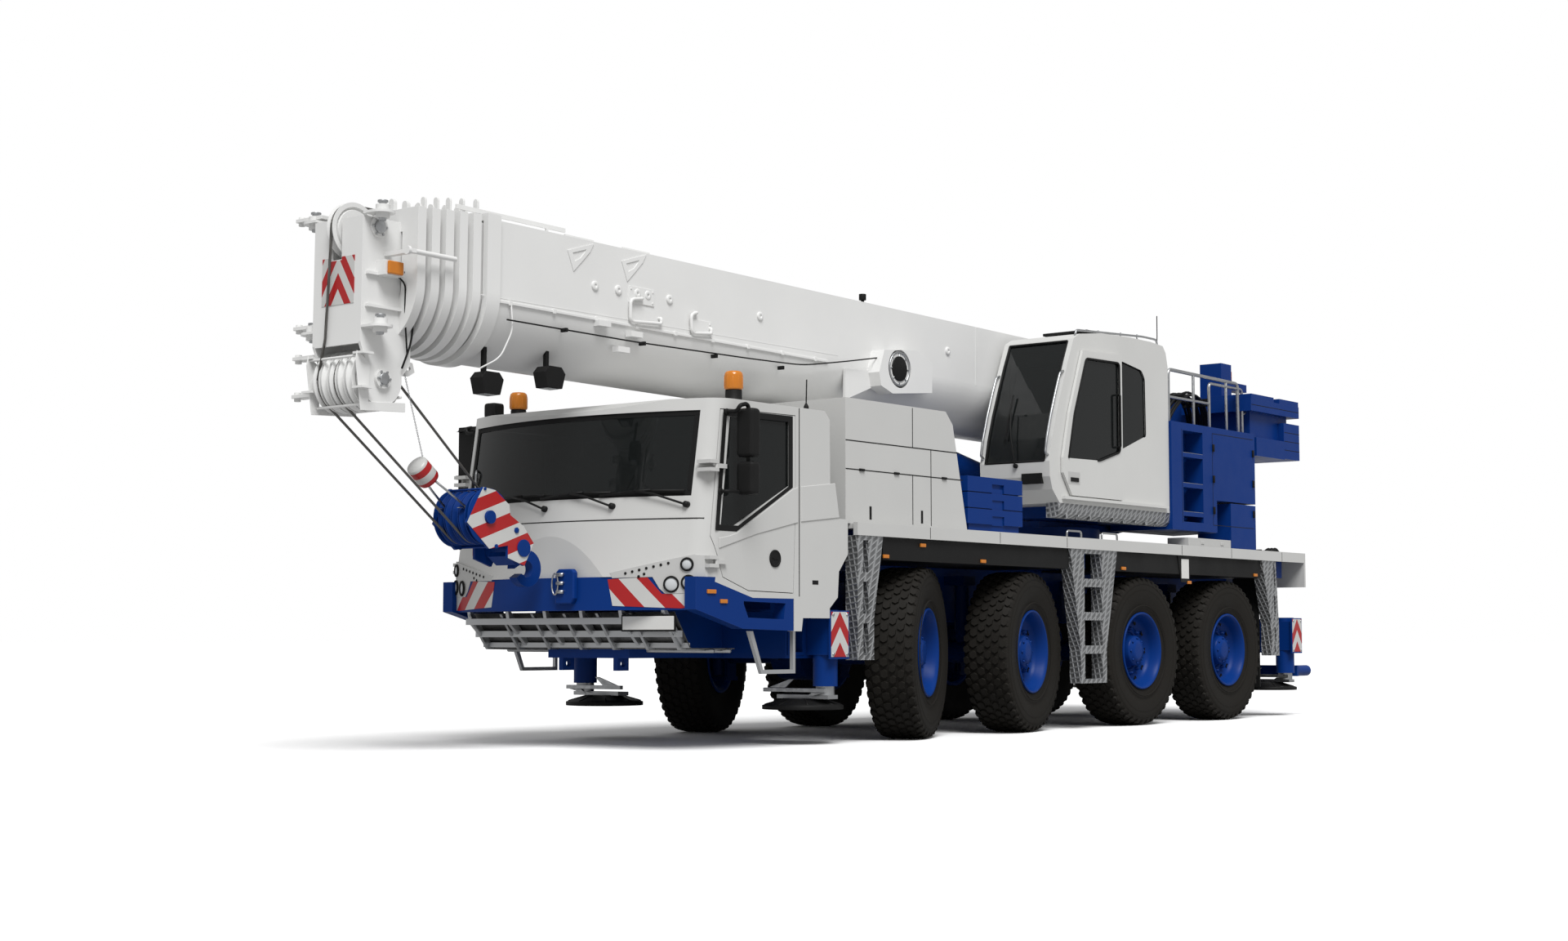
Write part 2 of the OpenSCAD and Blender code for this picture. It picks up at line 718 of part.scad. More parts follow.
op_back_z = [2700, 3250];
module op_solid(inset) {
  translate([0, op_y[1] - inset, 0]) rotate([90, 0, 0])
    linear_extrude(op_y[1] - op_y[0] - 2 * inset) offset(delta = -inset) polygon(op_outline);
}
module op_cut(y, points, gap) {
  translate([0, y[1], 0]) rotate([90, 0, 0]) linear_extrude(y[1] - y[0]) offset(delta = -gap) polygon(points);
}
module op_screen_cut(gap) {
  block([-2335 + gap, -1700], [op_y[0] + 45 + gap, op_y[1] - 45 - gap], [2290 + gap, 3370 - gap]);
}
module op_cab() {
  color(white) from_axle_1() difference() {
    op_solid(0);
    op_solid(op_wall);
    op_screen_cut(0);
    op_cut([op_y[1] - 80, op_y[1] + 50], op_door_outline, 30);
    op_cut([op_y[1] - 80, op_y[1] + 50], op_rear_window, 0);
    op_cut([op_y[0] - 50, op_y[0] + 80], op_window, 0);
    block(op_back_x, op_back_y, op_back_z);
  }
  // Runner under the sliding door
  color(white) from_axle_1() block([-3950, -2100], [op_y[1] - 1, op_y[1] + 35], [1975, 2000 - seat]);
}
module op_glass() {
  color(glass) from_axle_1() intersection() {
    difference() {
      op_solid(12);
      op_solid(20);
    }
    union() {
      op_screen_cut(seat);
      op_cut([op_y[1] - 80, op_y[1] + 50], op_rear_window, seat);
      op_cut([op_y[0] - 50, op_y[0] + 80], op_window, seat);
      block(op_back_x, [op_back_y[0] + seat, op_back_y[1] - seat], [op_back_z[0] + seat, op_back_z[1] - seat]);
    }
  }
}
module op_door() {
  color(white) from_axle_1() difference() {
    op_cut([op_y[1] + 5, op_y[1] + 30], op_door_outline, 0);
    op_cut([op_y[1] - 80, op_y[1] + 50], op_window, 0);
  }
}
module op_door_glass() {
  color(glass) from_axle_1() op_cut([op_y[1] + 10, op_y[1] + 18], op_window, seat);
}
op_floor_z = op_outline[0][1] + op_wall + seat;
op_arm_y = [552, 1053];
module op_interior() {
  color([0.12, 0.12, 0.13]) from_axle_1() {
    block([-3300, -2750], [600, 1050], [op_floor_z, 2330]);
    block([-3420, -3250], [610, 1040], [2330, 3000]);
    block([-2330, -2210], [600, 1080], [op_floor_z, 2500]);
    for (y = op_arm_y) block([-3260, -2780], [y, y + 45], [2450, 2540]);
    block([-3300, -3200], [op_arm_y[0], op_arm_y[1] + 45], [2450, 2500]);
  }
}

// Cross-section of a boom part: flat top, round belly
module boom_section_2d(w, h) {
  translate([0, w / 2]) circle(d = w, $fn = 96);
  translate([-w / 2, w / 2]) square([w, h - w / 2]);
}
// The same cross-section extruded along X, its belly's lowest line at bottom_z
module boom_bar(x, w, h, bottom_z) {
  translate([x[0], 0, bottom_z]) rotate([90, 0, 90]) linear_extrude(x[1] - x[0]) boom_section_2d(w, h);
}
module boom_tube(x, w, h, bottom_z, wall) {
  difference() {
    boom_bar(x, w, h, bottom_z);
    boom_bar([x[0] - 1, x[1] + 1], w - 2 * wall, h - 2 * wall, bottom_z + wall);
  }
}

// Boom parts are drawn level and then raised about the pivot
module along_boom() {
  from_axle_1() translate([pivot_x, 0, pivot_z]) rotate([0, -boom_rise, 0])
    translate([-pivot_x, 0, -pivot_z]) children();
}

// Widths, heights and undersides of the boom's parts, the base being part 0
function tele_w(i) = boom_w - boom_step * i;
function tele_h(i) = boom_h - boom_step * i;
function tele_bottom(i) = boom_bottom_z + boom_step / 2 * i;
// Sliding pads inside the front end of a part
module boom_pads(i, front) {
  boom_tube([front - 120, front], tele_w(i) - 2 * boom_wall, tele_h(i) - 2 * boom_wall,
            tele_bottom(i) + boom_wall, boom_step / 2 - boom_wall - seat);
}

// Pin between the boom's bracket and the cylinder's rod, in the level boom
rod_pin_x = -1180;
rod_pin_z = 2450;
rod_plate_y = [190, 230];
boom_top_z = boom_bottom_z + boom_h;
// Flat bar on posts and two pierced lugs on the top
top_lug_x = [2090, 2690];
module base_top_gear() {
  for (x = top_lug_x) difference() {
    side_plate([190, 206], [[x, boom_top_z - 5], [x + 40, boom_top_z - 5], [x + 290, boom_top_z + 50],
                            [x + 290, boom_top_z + 70], [x, boom_top_z + 70]]);
    bar_y(x + 80, [150, 250], boom_top_z + 40, 18);
  }
  for (x = [3150, 3780]) block([x, x + 20], [190, 205], [boom_top_z - 5, boom_top_z + 90]);
  block([2980, 4020], [190, 205], [boom_top_z + 80, boom_top_z + 110]);
}
// Open-sided housing with the cable reel on the left of the base
reel_at = [-620, 2955];
module cable_reel() {
  side = boom_w / 2;
  difference() {
    side_plate([side - 5, side + 130], [[-330, 2900], [-400, 3090], [-880, 3140], [-1090, 3050], [-1090, 2800],
                                        [-520, 2740], [-360, 2790]]);
    bar_y(reel_at[0], [side + 30, side + 140], reel_at[1], 160);
  }
  bar_y(reel_at[0], [side + 20, side + 110], reel_at[1], 75);
  bar_y(reel_at[0], [side + 112, side + 122], reel_at[1], 140);
  bar_y(reel_at[0], [side + 100, side + 118], reel_at[1], 50);
  side_plate([side - 5, side + 20], [[-20, 2650], [-20, 2900], [-340, 2920], [-400, 2790]]);
}
module boom_base() {
  color(white) along_boom() {
    boom_tube([-5050, boom_front_x], boom_w, boom_h, boom_bottom_z, boom_wall);
    collar([boom_front_x - 60, boom_front_x + 60], boom_w + 60, boom_h + 60, boom_bottom_z - 30, boom_wall + 30);
    boom_pads(0, boom_front_x);
    base_top_gear();
    cable_reel();
    // Pivot eyes behind, and the cylinder's bracket below
    both_sides() difference() {
      side_plate([boom_w / 2 - boom_wall, boom_w / 2 + 18], [[-5330, 2850], [-5250, 3130], [-4700, 3350], [-4700, 2800], [-5050, 2740]]);
      bar_y(pivot_x, [300, 500], pivot_z, 89);
    }
    bar_y(pivot_x, [-486, 486], pivot_z, 90);
    both_sides() {
      side_plate(rod_plate_y, [[-1600, 2620], [-1320, rod_pin_z - 40], [-1240, rod_pin_z - 100],
                               [-1120, rod_pin_z - 100], [-1040, rod_pin_z - 40], [-760, 2620]]);
      bar_y(rod_pin_x, [rod_plate_y[0], rod_plate_y[1] + 8], rod_pin_z, luff_pin_r);
    }
  }
}

// Collar of a part, with the round-topped lug on its upper side
module collar(x, w, h, bottom_z, wall) {
  boom_tube(x, w, h, bottom_z, wall);
  top = bottom_z + h;
  block([x[0] + 20, x[1] - 20], [collar_lug_y[0], collar_lug_y[1]], [top - 2, top + 60]);
  bar_x([x[0] + 20, x[1] - 20], (collar_lug_y[0] + collar_lug_y[1]) / 2, top + 60, (collar_lug_y[1] - collar_lug_y[0]) / 2);
}
collar_lug_y = [90, 140];

// Telescopic parts, counted from 1; each collar stands 115 ahead of the last
collar_pitch = 115;
module boom_tele(i) {
  front = boom_front_x + 60 + collar_pitch * i;
  rear = -4900 + 60 * i;
  color(white) along_boom() {
    boom_tube([rear, front], tele_w(i), tele_h(i), tele_bottom(i), boom_wall);
    collar([front - 70, front], boom_w + 40 - 14 * i, boom_h + 40 - 14 * i,
           boom_bottom_z - 20 + 7 * i, boom_step / 2 * i + 20 - 7 * i + boom_wall);
    if (i < 5) boom_pads(i, front);
  }
}
module boom_1() { boom_tele(1); }
module boom_2() { boom_tele(2); }
module boom_3() { boom_tele(3); }
module boom_4() { boom_tele(4); }

// Boom head on the last part: cheeks, front plate, grooved sheaves and lugs for a jib
head_cheek_y = [212, 236];
head_face_x = [4826, 4850];
low_sheaves_at = [4670, 2337];
low_sheave_r = 205;
low_sheave_count = 5;
low_sheave_pitch = 80;
top_sheave_at = [4722, 3317];
top_sheave_r = 187;
jib_lug_z = [2651, 3386];

// Rope sheave about its pin, its middle at y, with the groove turned into its rim
module sheave(at, y, r) {
  half = 30;
  floor = 26;
  translate([at[0], y, at[1]]) rotate([90, 0, 0]) rotate_extrude()
    polygon([[30, -half], [r - 50, -half], [r - 44, -14], [r - 38, -14], [r - 30, -half], [r, -half], [r, 6 - half],
             [r - floor, -7], [r - floor, 7], [r, half - 6], [r, half], [r - 30, half], [r - 38, 14], [r - 44, 14],
             [r - 50, half], [30, half]]);
}

module boom_head() {
  both_sides() {
    // Cheek with a round foot about the lower sheaves' pin
    side_plate(head_cheek_y, [[4430, 2450], [4430, 3300], [4540, 3376], [head_face_x[1], 3376],
                              [head_face_x[1], 2560], [4790, 2420], [4560, 2300]]);
    bar_y(low_sheaves_at[0], head_cheek_y, low_sheaves_at[1], 172);
    bar_y(low_sheaves_at[0], [head_cheek_y[1] - 1, 262], low_sheaves_at[1], 62);
    bar_y(top_sheave_at[0], [head_cheek_y[1] - 1, 250], top_sheave_at[1], 70);
    // Lugs with upright pins' bosses, for a jib
    for (z = jib_lug_z) {
      block([4690, head_face_x[1]], [head_cheek_y[1] - 1, 330], [z, z + 16]);
      difference() {
        union() {
          bar_z(4770, 330, [z, z + 16], 80);
          bar_z(4770, 330, [z - 30, z + 56], 46);
        }
        bar_z(4770, 330, [z - 40, z + 60], 25);
      }
    }
    for (z = [2260, 2480]) block([4790, 4880], [200, 300], [z, z + 14]);
    // Stiffening ribs and the lug behind the lower pin
    for (z = [2790, 3000]) block([4480, 4820], [head_cheek_y[1] - 1, 262], [z, z + 18]);
    difference() {
      side_plate([150, 170], [[4500, 2500], [4350, 2480], [4330, 2420], [4380, 2390], [4600, 2380]]);
      bar_y(4380, [140, 180], 2440, 16);
    }
    block([4480, 4520], [150, 213], [2420, 2480]);
  }
  // Front plate, cut for the top sheave
  difference() {
    block(head_face_x, [-head_cheek_y[0] - 1, head_cheek_y[0] + 1], [2552, 3376]);
    block([4800, 4900], [-75, 35], [3110, 3400]);
  }
  // Back plate against the collar
  block([4600, 4620], [-head_cheek_y[0] - 1, head_cheek_y[0] + 1], [2560, 3130]);
  for (i = [0:low_sheave_count - 1])
    sheave(low_sheaves_at, (i - (low_sheave_count - 1) / 2) * low_sheave_pitch, low_sheave_r);
  bar_y(low_sheaves_at[0], [-head_cheek_y[1], head_cheek_y[1]], low_sheaves_at[1], 48);
  sheave(top_sheave_at, -20, top_sheave_r);
  bar_y(top_sheave_at[0], [-head_cheek_y[1], head_cheek_y[1]], top_sheave_at[1], 40);
  // Housing, and the stowed pin on its bracket, on the left
  block([4580, 4740], [head_cheek_y[1] - 1, 330], [3000, 3095]);
  block([4620, 4670], [head_cheek_y[1] - 1, 492], [3135, 3160]);
  bar_x([4270, 4680], 475, 3147, 17);
  bar_x([4670, 4690], 475, 3147, 28);
}

module boom_5() {
  boom_tele(5);
  color(white) along_boom() boom_head();
}

// Luffing cylinder from the turning frame's foot to the boom's bracket
rod_eye = [pivot_x + (rod_pin_x - pivot_x) * cos(boom_rise) - (rod_pin_z - pivot_z) * sin(boom_rise),
           pivot_z + (rod_pin_x - pivot_x) * sin(boom_rise) + (rod_pin_z - pivot_z) * cos(boom_rise)];
luff_run = [rod_eye[0] - foot_x, rod_eye[1] - foot_z];
luff_len = norm(luff_run);
luff_angle = atan2(luff_run[1], luff_run[0]);
module along_luff() {
  from_axle_1() translate([foot_x, 0, foot_z]) rotate([0, 90 - luff_angle, 0]) children();
}
module luff_barrel() {
  color(blue) along_luff() {
    bar_y(0, [-485, 485], 0, luff_pin_r);
    difference() {
      translate([0, 0, 60]) cylinder(h = luff_len - 330, r = 150);
      translate([0, 0, 200]) cylinder(h = luff_len, r = 122);
    }
    bar_y(0, [-180, 180], 0, 110);
    block([-90, 90], [-150, 150], [0, 100]);
  }
}
module luff_rod() {
  color(zinc) along_luff() {
    translate([0, 0, 210]) cylinder(h = 100, r = 121.9);
    translate([0, 0, 250]) cylinder(h = luff_len - 250 - 60, r = 90);
    bar_y(0, [5 - rod_plate_y[0], rod_plate_y[0] - 5], luff_len, 100);
  }
}

// Hook block, hung along the tied-back ropes, which lean hook_lean from upright
hook_at = [3655, 1600];
hook_lean = 54;
hook_sheave_r = 185;
// Side plate's outline, in X and Z
hook_plate = [[3710, 1802], [3601, 1786], [3467, 1692], [3458, 1623], [3331, 1553], [3231, 1438], [3319, 1279],
              [3476, 1328], [3477, 1413], [3653, 1386], [3857, 1557], [3766, 1715]];
hook_plate_y = [150, 172];
// Spacer bars: X, Z and radius
hook_spacers = [[3590, 1404, 9], [3400, 1520, 15], [3700, 1790, 8]];
module hook_block() {
  color(blue) from_axle_1() {
    both_sides() {
      side_plate(hook_plate_y, hook_plate);
    }
    // Spacer bars between the plates, clear of the sheaves
    for (s = hook_spacers) bar_y(s[0], [-hook_plate_y[0] - 1, hook_plate_y[0] + 1], s[1], s[2]);
    for (i = [0:3]) sheave(hook_at, (i - 1.5) * 68, hook_sheave_r);
    bar_y(hook_at[0], [-195, 195], hook_at[1], 45);
    // Cross head that carries the hook
    bar_y(3330, [-hook_plate_y[1] - 12, hook_plate_y[1] + 12], 1400, 60);
    translate([3330, 0, 1400]) rotate([0, hook_lean, 0]) {
      block([-90, 90], [-95, 95], [-70, 30]);
      translate([0, 0, -140]) cylinder(h = 71, r = 52);
      // Hook: a round bowl open on one side, its point rounded
      translate([0, 36, -225]) rotate([90, 0, 0]) linear_extrude(72) {
        difference() {
          circle(r = 128);
          translate([10, 6]) circle(r = 58);
          rotate([0, 0, 25]) translate([0, -4]) square([200, 62]);
        }
        rotate([0, 0, 10]) translate([92, -14]) circle(r = 32);
      }
    }
  }
}

module knuckle_1l() { knuckle(0, 1); }
module knuckle_1r() { knuckle(0, -1); }
module knuckle_2l() { knuckle(1, 1); }
module knuckle_2r() { knuckle(1, -1); }
module knuckle_3l() { knuckle(2, 1); }
module knuckle_3r() { knuckle(2, -1); }
module knuckle_4l() { knuckle(3, 1); }
module knuckle_4r() { knuckle(3, -1); }
module wheel_1l() { wheel(0, 1); }
module wheel_1r() { wheel(0, -1); }
module wheel_2l() { wheel(1, 1); }
module wheel_2r() { wheel(1, -1); }
module wheel_3l() { wheel(2, 1); }
module wheel_3r() { wheel(2, -1); }
module wheel_4l() { wheel(3, 1); }
module wheel_4r() { wheel(3, -1); }
module beam_fl() { outrigger_beam(beam_fl_at); }
module beam_fr() { outrigger_beam(beam_fr_at); }
module beam_rl() { outrigger_beam(beam_rl_at); }
module beam_rr() { outrigger_beam(beam_rr_at); }
module jack_fl() { outrigger_jack(beam_fl_at); }
module jack_fr() { outrigger_jack(beam_fr_at); }
module jack_rl() { outrigger_jack(beam_rl_at); }
module jack_rr() { outrigger_jack(beam_rr_at); }

chassis();
engine();
axles();
cab_shell();
cab_glass();
cab_interior();
bumper();
lamps();
engine_cover();
deck();
mudguards();
ladders();
deck_ballast();
door_left();
door_left_glass();
door_left_trim();
door_right();
door_right_glass();
door_right_trim();
knuckle_1l();
knuckle_1r();
knuckle_2l();
knuckle_2r();
knuckle_3l();
knuckle_3r();
knuckle_4l();
knuckle_4r();
wheel_1l();
wheel_1r();
wheel_2l();
wheel_2r();
wheel_3l();
wheel_3r();
wheel_4l();
wheel_4r();
beam_fl();
beam_fr();
beam_rl();
beam_rr();
jack_fl();
jack_fr();
jack_rl();
jack_rr();
house();
cabinet();
counterweight();
op_cab();
op_glass();
op_interior();
op_door();
op_door_glass();
boom_base();
boom_1();
boom_2();
boom_3();
boom_4();
boom_5();
luff_barrel();
luff_rod();
hook_block();
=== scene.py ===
"""Finish of the all-terrain crane: materials, small forms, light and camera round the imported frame."""
import json
import math

import bmesh
import bpy
from mathutils import Matrix, Vector


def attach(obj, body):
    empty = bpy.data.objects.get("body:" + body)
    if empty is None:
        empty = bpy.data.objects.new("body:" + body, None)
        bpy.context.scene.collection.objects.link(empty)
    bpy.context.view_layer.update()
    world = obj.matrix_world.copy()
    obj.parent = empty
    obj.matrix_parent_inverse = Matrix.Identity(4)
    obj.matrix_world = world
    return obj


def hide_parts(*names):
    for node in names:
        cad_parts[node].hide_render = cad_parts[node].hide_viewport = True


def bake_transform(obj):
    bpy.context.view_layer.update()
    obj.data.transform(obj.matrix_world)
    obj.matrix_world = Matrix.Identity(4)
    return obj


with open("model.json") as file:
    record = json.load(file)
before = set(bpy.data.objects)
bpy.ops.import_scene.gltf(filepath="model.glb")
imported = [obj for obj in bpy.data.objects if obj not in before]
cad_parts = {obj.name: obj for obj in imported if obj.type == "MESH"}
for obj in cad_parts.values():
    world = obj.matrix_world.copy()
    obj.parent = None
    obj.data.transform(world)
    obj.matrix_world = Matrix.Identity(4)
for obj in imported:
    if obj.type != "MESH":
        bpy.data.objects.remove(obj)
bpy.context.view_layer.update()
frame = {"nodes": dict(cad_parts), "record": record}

# Places along X are measured from the first axle, as on a data sheet, in metres
MID_X = 1.057

# Camera, fitted to the photograph
CAMERA_AT = (13.780 + MID_X, 10.776, 0.784)
CAMERA_YAW = 218.49
CAMERA_PITCH = 4.459
CAMERA_LENS = 49.29


# Shader helpers

def new_material(name):
    """A node material with its Principled shader."""
    mat = bpy.data.materials.new(name)
    mat.use_nodes = True
    nodes = mat.node_tree.nodes
    return mat, nodes, mat.node_tree.links, nodes["Principled BSDF"]


def noise(nodes, links, coords, scale, detail=4.0):
    """A noise texture on the object's own coordinates."""
    tex = nodes.new("ShaderNodeTexNoise")
    tex.inputs["Scale"].default_value = scale
    tex.inputs["Detail"].default_value = detail
    links.new(coords.outputs["Object"], tex.inputs["Vector"])
    return tex


def spread(nodes, links, source, low, high):
    """The source's value moved from its middle range to low..high."""
    ramp = nodes.new("ShaderNodeMapRange")
    ramp.inputs["From Min"].default_value = 0.35
    ramp.inputs["From Max"].default_value = 0.65
    ramp.inputs["To Min"].default_value = low
    ramp.inputs["To Max"].default_value = high
    links.new(source, ramp.inputs["Value"])
    return ramp.outputs["Result"]


def two_tone(nodes, links, factor, dark, light):
    """Colour between dark and light by factor."""
    mix = nodes.new("ShaderNodeMix")
    mix.data_type = "RGBA"
    mix.inputs["A"].default_value = (*dark, 1)
    mix.inputs["B"].default_value = (*light, 1)
    links.new(factor, mix.inputs["Factor"])
    return mix.outputs["Result"]


def bump(nodes, links, height, strength, distance, normal=None):
    """A bump node on the given height."""
    node = nodes.new("ShaderNodeBump")
    node.inputs["Strength"].default_value = strength
    node.inputs["Distance"].default_value = distance
    links.new(height, node.inputs["Height"])
    if normal:
        links.new(normal, node.inputs["Normal"])
    return node.outputs["Normal"]


def edge_mask(nodes, links, radius, low, high):
    """1 on sharp outer edges and 0 on faces, for wear and dust, and for a painted edge highlight."""
    bevel = nodes.new("ShaderNodeBevel")
    bevel.samples = 4
    bevel.inputs["Radius"].default_value = radius
    geometry = nodes.new("ShaderNodeNewGeometry")
    dot = nodes.new("ShaderNodeVectorMath")
    dot.operation = "DOT_PRODUCT"
    links.new(bevel.outputs["Normal"], dot.inputs[0])
    links.new(geometry.outputs["Normal"], dot.inputs[1])
    ramp = nodes.new("ShaderNodeMapRange")
    ramp.inputs["From Min"].default_value = high
    ramp.inputs["From Max"].default_value = low
    links.new(dot.outputs["Value"], ramp.inputs["Value"])
    return ramp.outputs["Result"]


def paint(name, colour, rough=0.32, coat=0.10, tone=0.06, peel=0.12, shine=0.35):
    """Sprayed paint: faint colour drift, orange peel, and lighter outer edges that are partly wear and partly a painted
    edge highlight.
    """
    mat, nodes, links, shader = new_material(name)
    coords = nodes.new("ShaderNodeTexCoord")
    drift = noise(nodes, links, coords, 1.3, 3)
    dark = tuple(c * (1 - tone) for c in colour)
    light = tuple(min(1, c * (1 + tone)) for c in colour)
    base = two_tone(nodes, links, drift.outputs["Fac"], dark, light)
    # Outer edges lightened: partly wear, partly a painted edge highlight.
    wear_and_highlight = edge_mask(nodes, links, 0.003, 0.90, 0.99)
    mix = nodes.new("ShaderNodeMix")
    mix.data_type = "RGBA"
    links.new(wear_and_highlight, mix.inputs["Factor"])
    links.new(base, mix.inputs["A"])
    mix.inputs["B"].default_value = (*[min(1, c * 1.12 + 0.02) for c in colour], 1)
    links.new(mix.outputs["Result"], shader.inputs["Base Color"])
    film = noise(nodes, links, coords, 5.0, 5)
    links.new(spread(nodes, links, film.outputs["Fac"], rough - 0.04, rough + 0.08), shader.inputs["Roughness"])
    skin = noise(nodes, links, coords, 260.0, 2)
    links.new(bump(nodes, links, skin.outputs["Fac"], peel, 0.0006), shader.inputs["Normal"])
    shader.inputs["Coat Weight"].default_value = coat
    shader.inputs["Specular IOR Level"].default_value = shine
    shader.inputs["Coat Roughness"].default_value = 0.12
    return mat


def rubber(name, colour, rough=0.75, grain=90.0, shine=0.18):
    """Rubber or grained plastic."""
    mat, nodes, links, shader = new_material(name)
    coords = nodes.new("ShaderNodeTexCoord")
    drift = noise(nodes, links, coords, 3.0, 6)
    dark = tuple(c * 0.75 for c in colour)
    light = tuple(c * 1.35 for c in colour)
    links.new(two_tone(nodes, links, drift.outputs["Fac"], dark, light), shader.inputs["Base Color"])
    links.new(spread(nodes, links, drift.outputs["Fac"], rough - 0.08, rough + 0.08), shader.inputs["Roughness"])
    skin = noise(nodes, links, coords, grain, 4)
    links.new(bump(nodes, links, skin.outputs["Fac"], 0.35, 0.001), shader.inputs["Normal"])
    shader.inputs["Specular IOR Level"].default_value = shine
    return mat


def metal(name, colour, rough=0.38, grain=40.0, metallic=1.0):
    """Bare or galvanised metal with a fine spangle."""
    mat, nodes, links, shader = new_material(name)
    coords = nodes.new("ShaderNodeTexCoord")
    spangle = nodes.new("ShaderNodeTexVoronoi")
    spangle.inputs["Scale"].default_value = grain
    links.new(coords.outputs["Object"], spangle.inputs["Vector"])
    split = nodes.new("ShaderNodeSeparateColor")
    links.new(spangle.outputs["Color"], split.inputs["Color"])
    dark = tuple(c * 0.88 for c in colour)
    links.new(two_tone(nodes, links, split.outputs["Red"], dark, colour), shader.inputs["Base Color"])
    links.new(spread(nodes, links, split.outputs["Green"], rough - 0.05, rough + 0.08), shader.inputs["Roughness"])
    shader.inputs["Metallic"].default_value = metallic
    return mat


def tinted_glass(name):
    """Dark tinted pane that still shows what is inside."""
    mat, nodes, links, shader = new_material(name)
    coords = nodes.new("ShaderNodeTexCoord")
    wave = noise(nodes, links, coords, 0.8, 1)
    links.new(bump(nodes, links, wave.outputs["Fac"], 0.05, 0.01), shader.inputs["Normal"])
    shader.inputs["Base Color"].default_value = (0.010, 0.0115, 0.0115, 1)
    shader.inputs["Roughness"].default_value = 0.03
    shader.inputs["Alpha"].default_value = 0.84
    shader.inputs["Specular IOR Level"].default_value = 0.35
    return mat


def stripes(name, direction, period, shift, other=(0.60, 0.60, 0.585), colour=(0.42, 0.008, 0.010), fold=None):
    """Reflective sheet with red and white bands across a direction, or chevrons folded about a middle place."""
    mat, nodes, links, shader = new_material(name)
    coords = nodes.new("ShaderNodeTexCoord")
    along = nodes.new("ShaderNodeVectorMath")
    along.operation = "DOT_PRODUCT"
    if fold is None:
        links.new(coords.outputs["Object"], along.inputs[0])
    else:
        moved_in = nodes.new("ShaderNodeVectorMath")
        moved_in.operation = "SUBTRACT"
        links.new(coords.outputs["Object"], moved_in.inputs[0])
        moved_in.inputs[1].default_value = fold
        folded = nodes.new("ShaderNodeVectorMath")
        folded.operation = "ABSOLUTE"
        links.new(moved_in.outputs["Vector"], folded.inputs[0])
        links.new(folded.outputs["Vector"], along.inputs[0])
    along.inputs[1].default_value = Vector(direction).normalized()
    moved = nodes.new("ShaderNodeMath")
    moved.operation = "MULTIPLY_ADD"
    links.new(along.outputs["Value"], moved.inputs[0])
    moved.inputs[1].default_value = 1 / period
    moved.inputs[2].default_value = shift / period
    part = nodes.new("ShaderNodeMath")
    part.operation = "FRACT"
    links.new(moved.outputs["Value"], part.inputs[0])
    over = nodes.new("ShaderNodeMath")
    over.operation = "GREATER_THAN"
    links.new(part.outputs["Value"], over.inputs[0])
    over.inputs[1].default_value = 0.5
    bands = two_tone(nodes, links, over.outputs["Value"], colour, other)
    cells = nodes.new("ShaderNodeTexVoronoi")
    cells.inputs["Scale"].default_value = 220
    links.new(coords.outputs["Object"], cells.inputs["Vector"])
    drift = noise(nodes, links, coords, 4.0, 4)
    shade = nodes.new("ShaderNodeMix")
    shade.data_type = "RGBA"
    shade.blend_type = "MULTIPLY"
    shade.inputs["Factor"].default_value = 1.0
    links.new(bands, shade.inputs["A"])
    links.new(two_tone(nodes, links, drift.outputs["Fac"], (0.86, 0.86, 0.86), (1, 1, 1)), shade.inputs["B"])
    links.new(shade.outputs["Result"], shader.inputs["Base Color"])
    links.new(bump(nodes, links, cells.outputs["Distance"], 0.12, 0.0005), shader.inputs["Normal"])
    shader.inputs["Roughness"].default_value = 0.35
    return mat


def chequer(name, colour, plain_from):
    """Tread plate: short raised bars laid in turns along two diagonals, with the sheet between them painted darker as
    shade, and plain sheet ahead of one X.
    """
    mat, nodes, links, shader = new_material(name)
    coords = nodes.new("ShaderNodeTexCoord")
    heights = []
    for turn, shift in ((0.785, 0.0), (-0.785, 0.5)):
        place = nodes.new("ShaderNodeMapping")
        place.inputs["Rotation"].default_value = (turn, turn, turn)
        place.inputs["Location"].default_value = (shift * 0.03,) * 3
        links.new(coords.outputs["Object"], place.inputs["Vector"])
        wave = nodes.new("ShaderNodeTexWave")
        wave.inputs["Scale"].default_value = 8.0
        links.new(place.outputs["Vector"], wave.inputs["Vector"])
        sharp = nodes.new("ShaderNodeMath")
        sharp.operation = "POWER"
        links.new(wave.outputs["Fac"], sharp.inputs[0])
        sharp.inputs[1].default_value = 3.0
        heights.append(sharp.outputs["Value"])
    both = nodes.new("ShaderNodeMath")
    both.operation = "MAXIMUM"
    links.new(heights[0], both.inputs[0])
    links.new(heights[1], both.inputs[1])
    split = nodes.new("ShaderNodeSeparateXYZ")
    links.new(coords.outputs["Object"], split.inputs["Vector"])
    side = nodes.new("ShaderNodeMath")
    side.operation = "GREATER_THAN"
    links.new(split.outputs["X"], side.inputs[0])
    side.inputs[1].default_value = plain_from
    plain = nodes.new("ShaderNodeMath")
    plain.operation = "MAXIMUM"
    plain.use_clamp = True
    links.new(both.outputs["Value"], plain.inputs[0])
    links.new(side.outputs["Value"], plain.inputs[1])
    # Sheet between the bars at 0.42 of the colour: painted shade between the raised bars.
    dark = tuple(c * 0.42 for c in colour)
    links.new(two_tone(nodes, links, plain.outputs["Value"], dark, colour), shader.inputs["Base Color"])
    links.new(bump(nodes, links, plain.outputs["Value"], 1.0, 0.005), shader.inputs["Normal"])
    shader.inputs["Roughness"].default_value = 0.42
    shader.inputs["Metallic"].default_value = 0.8
    return mat


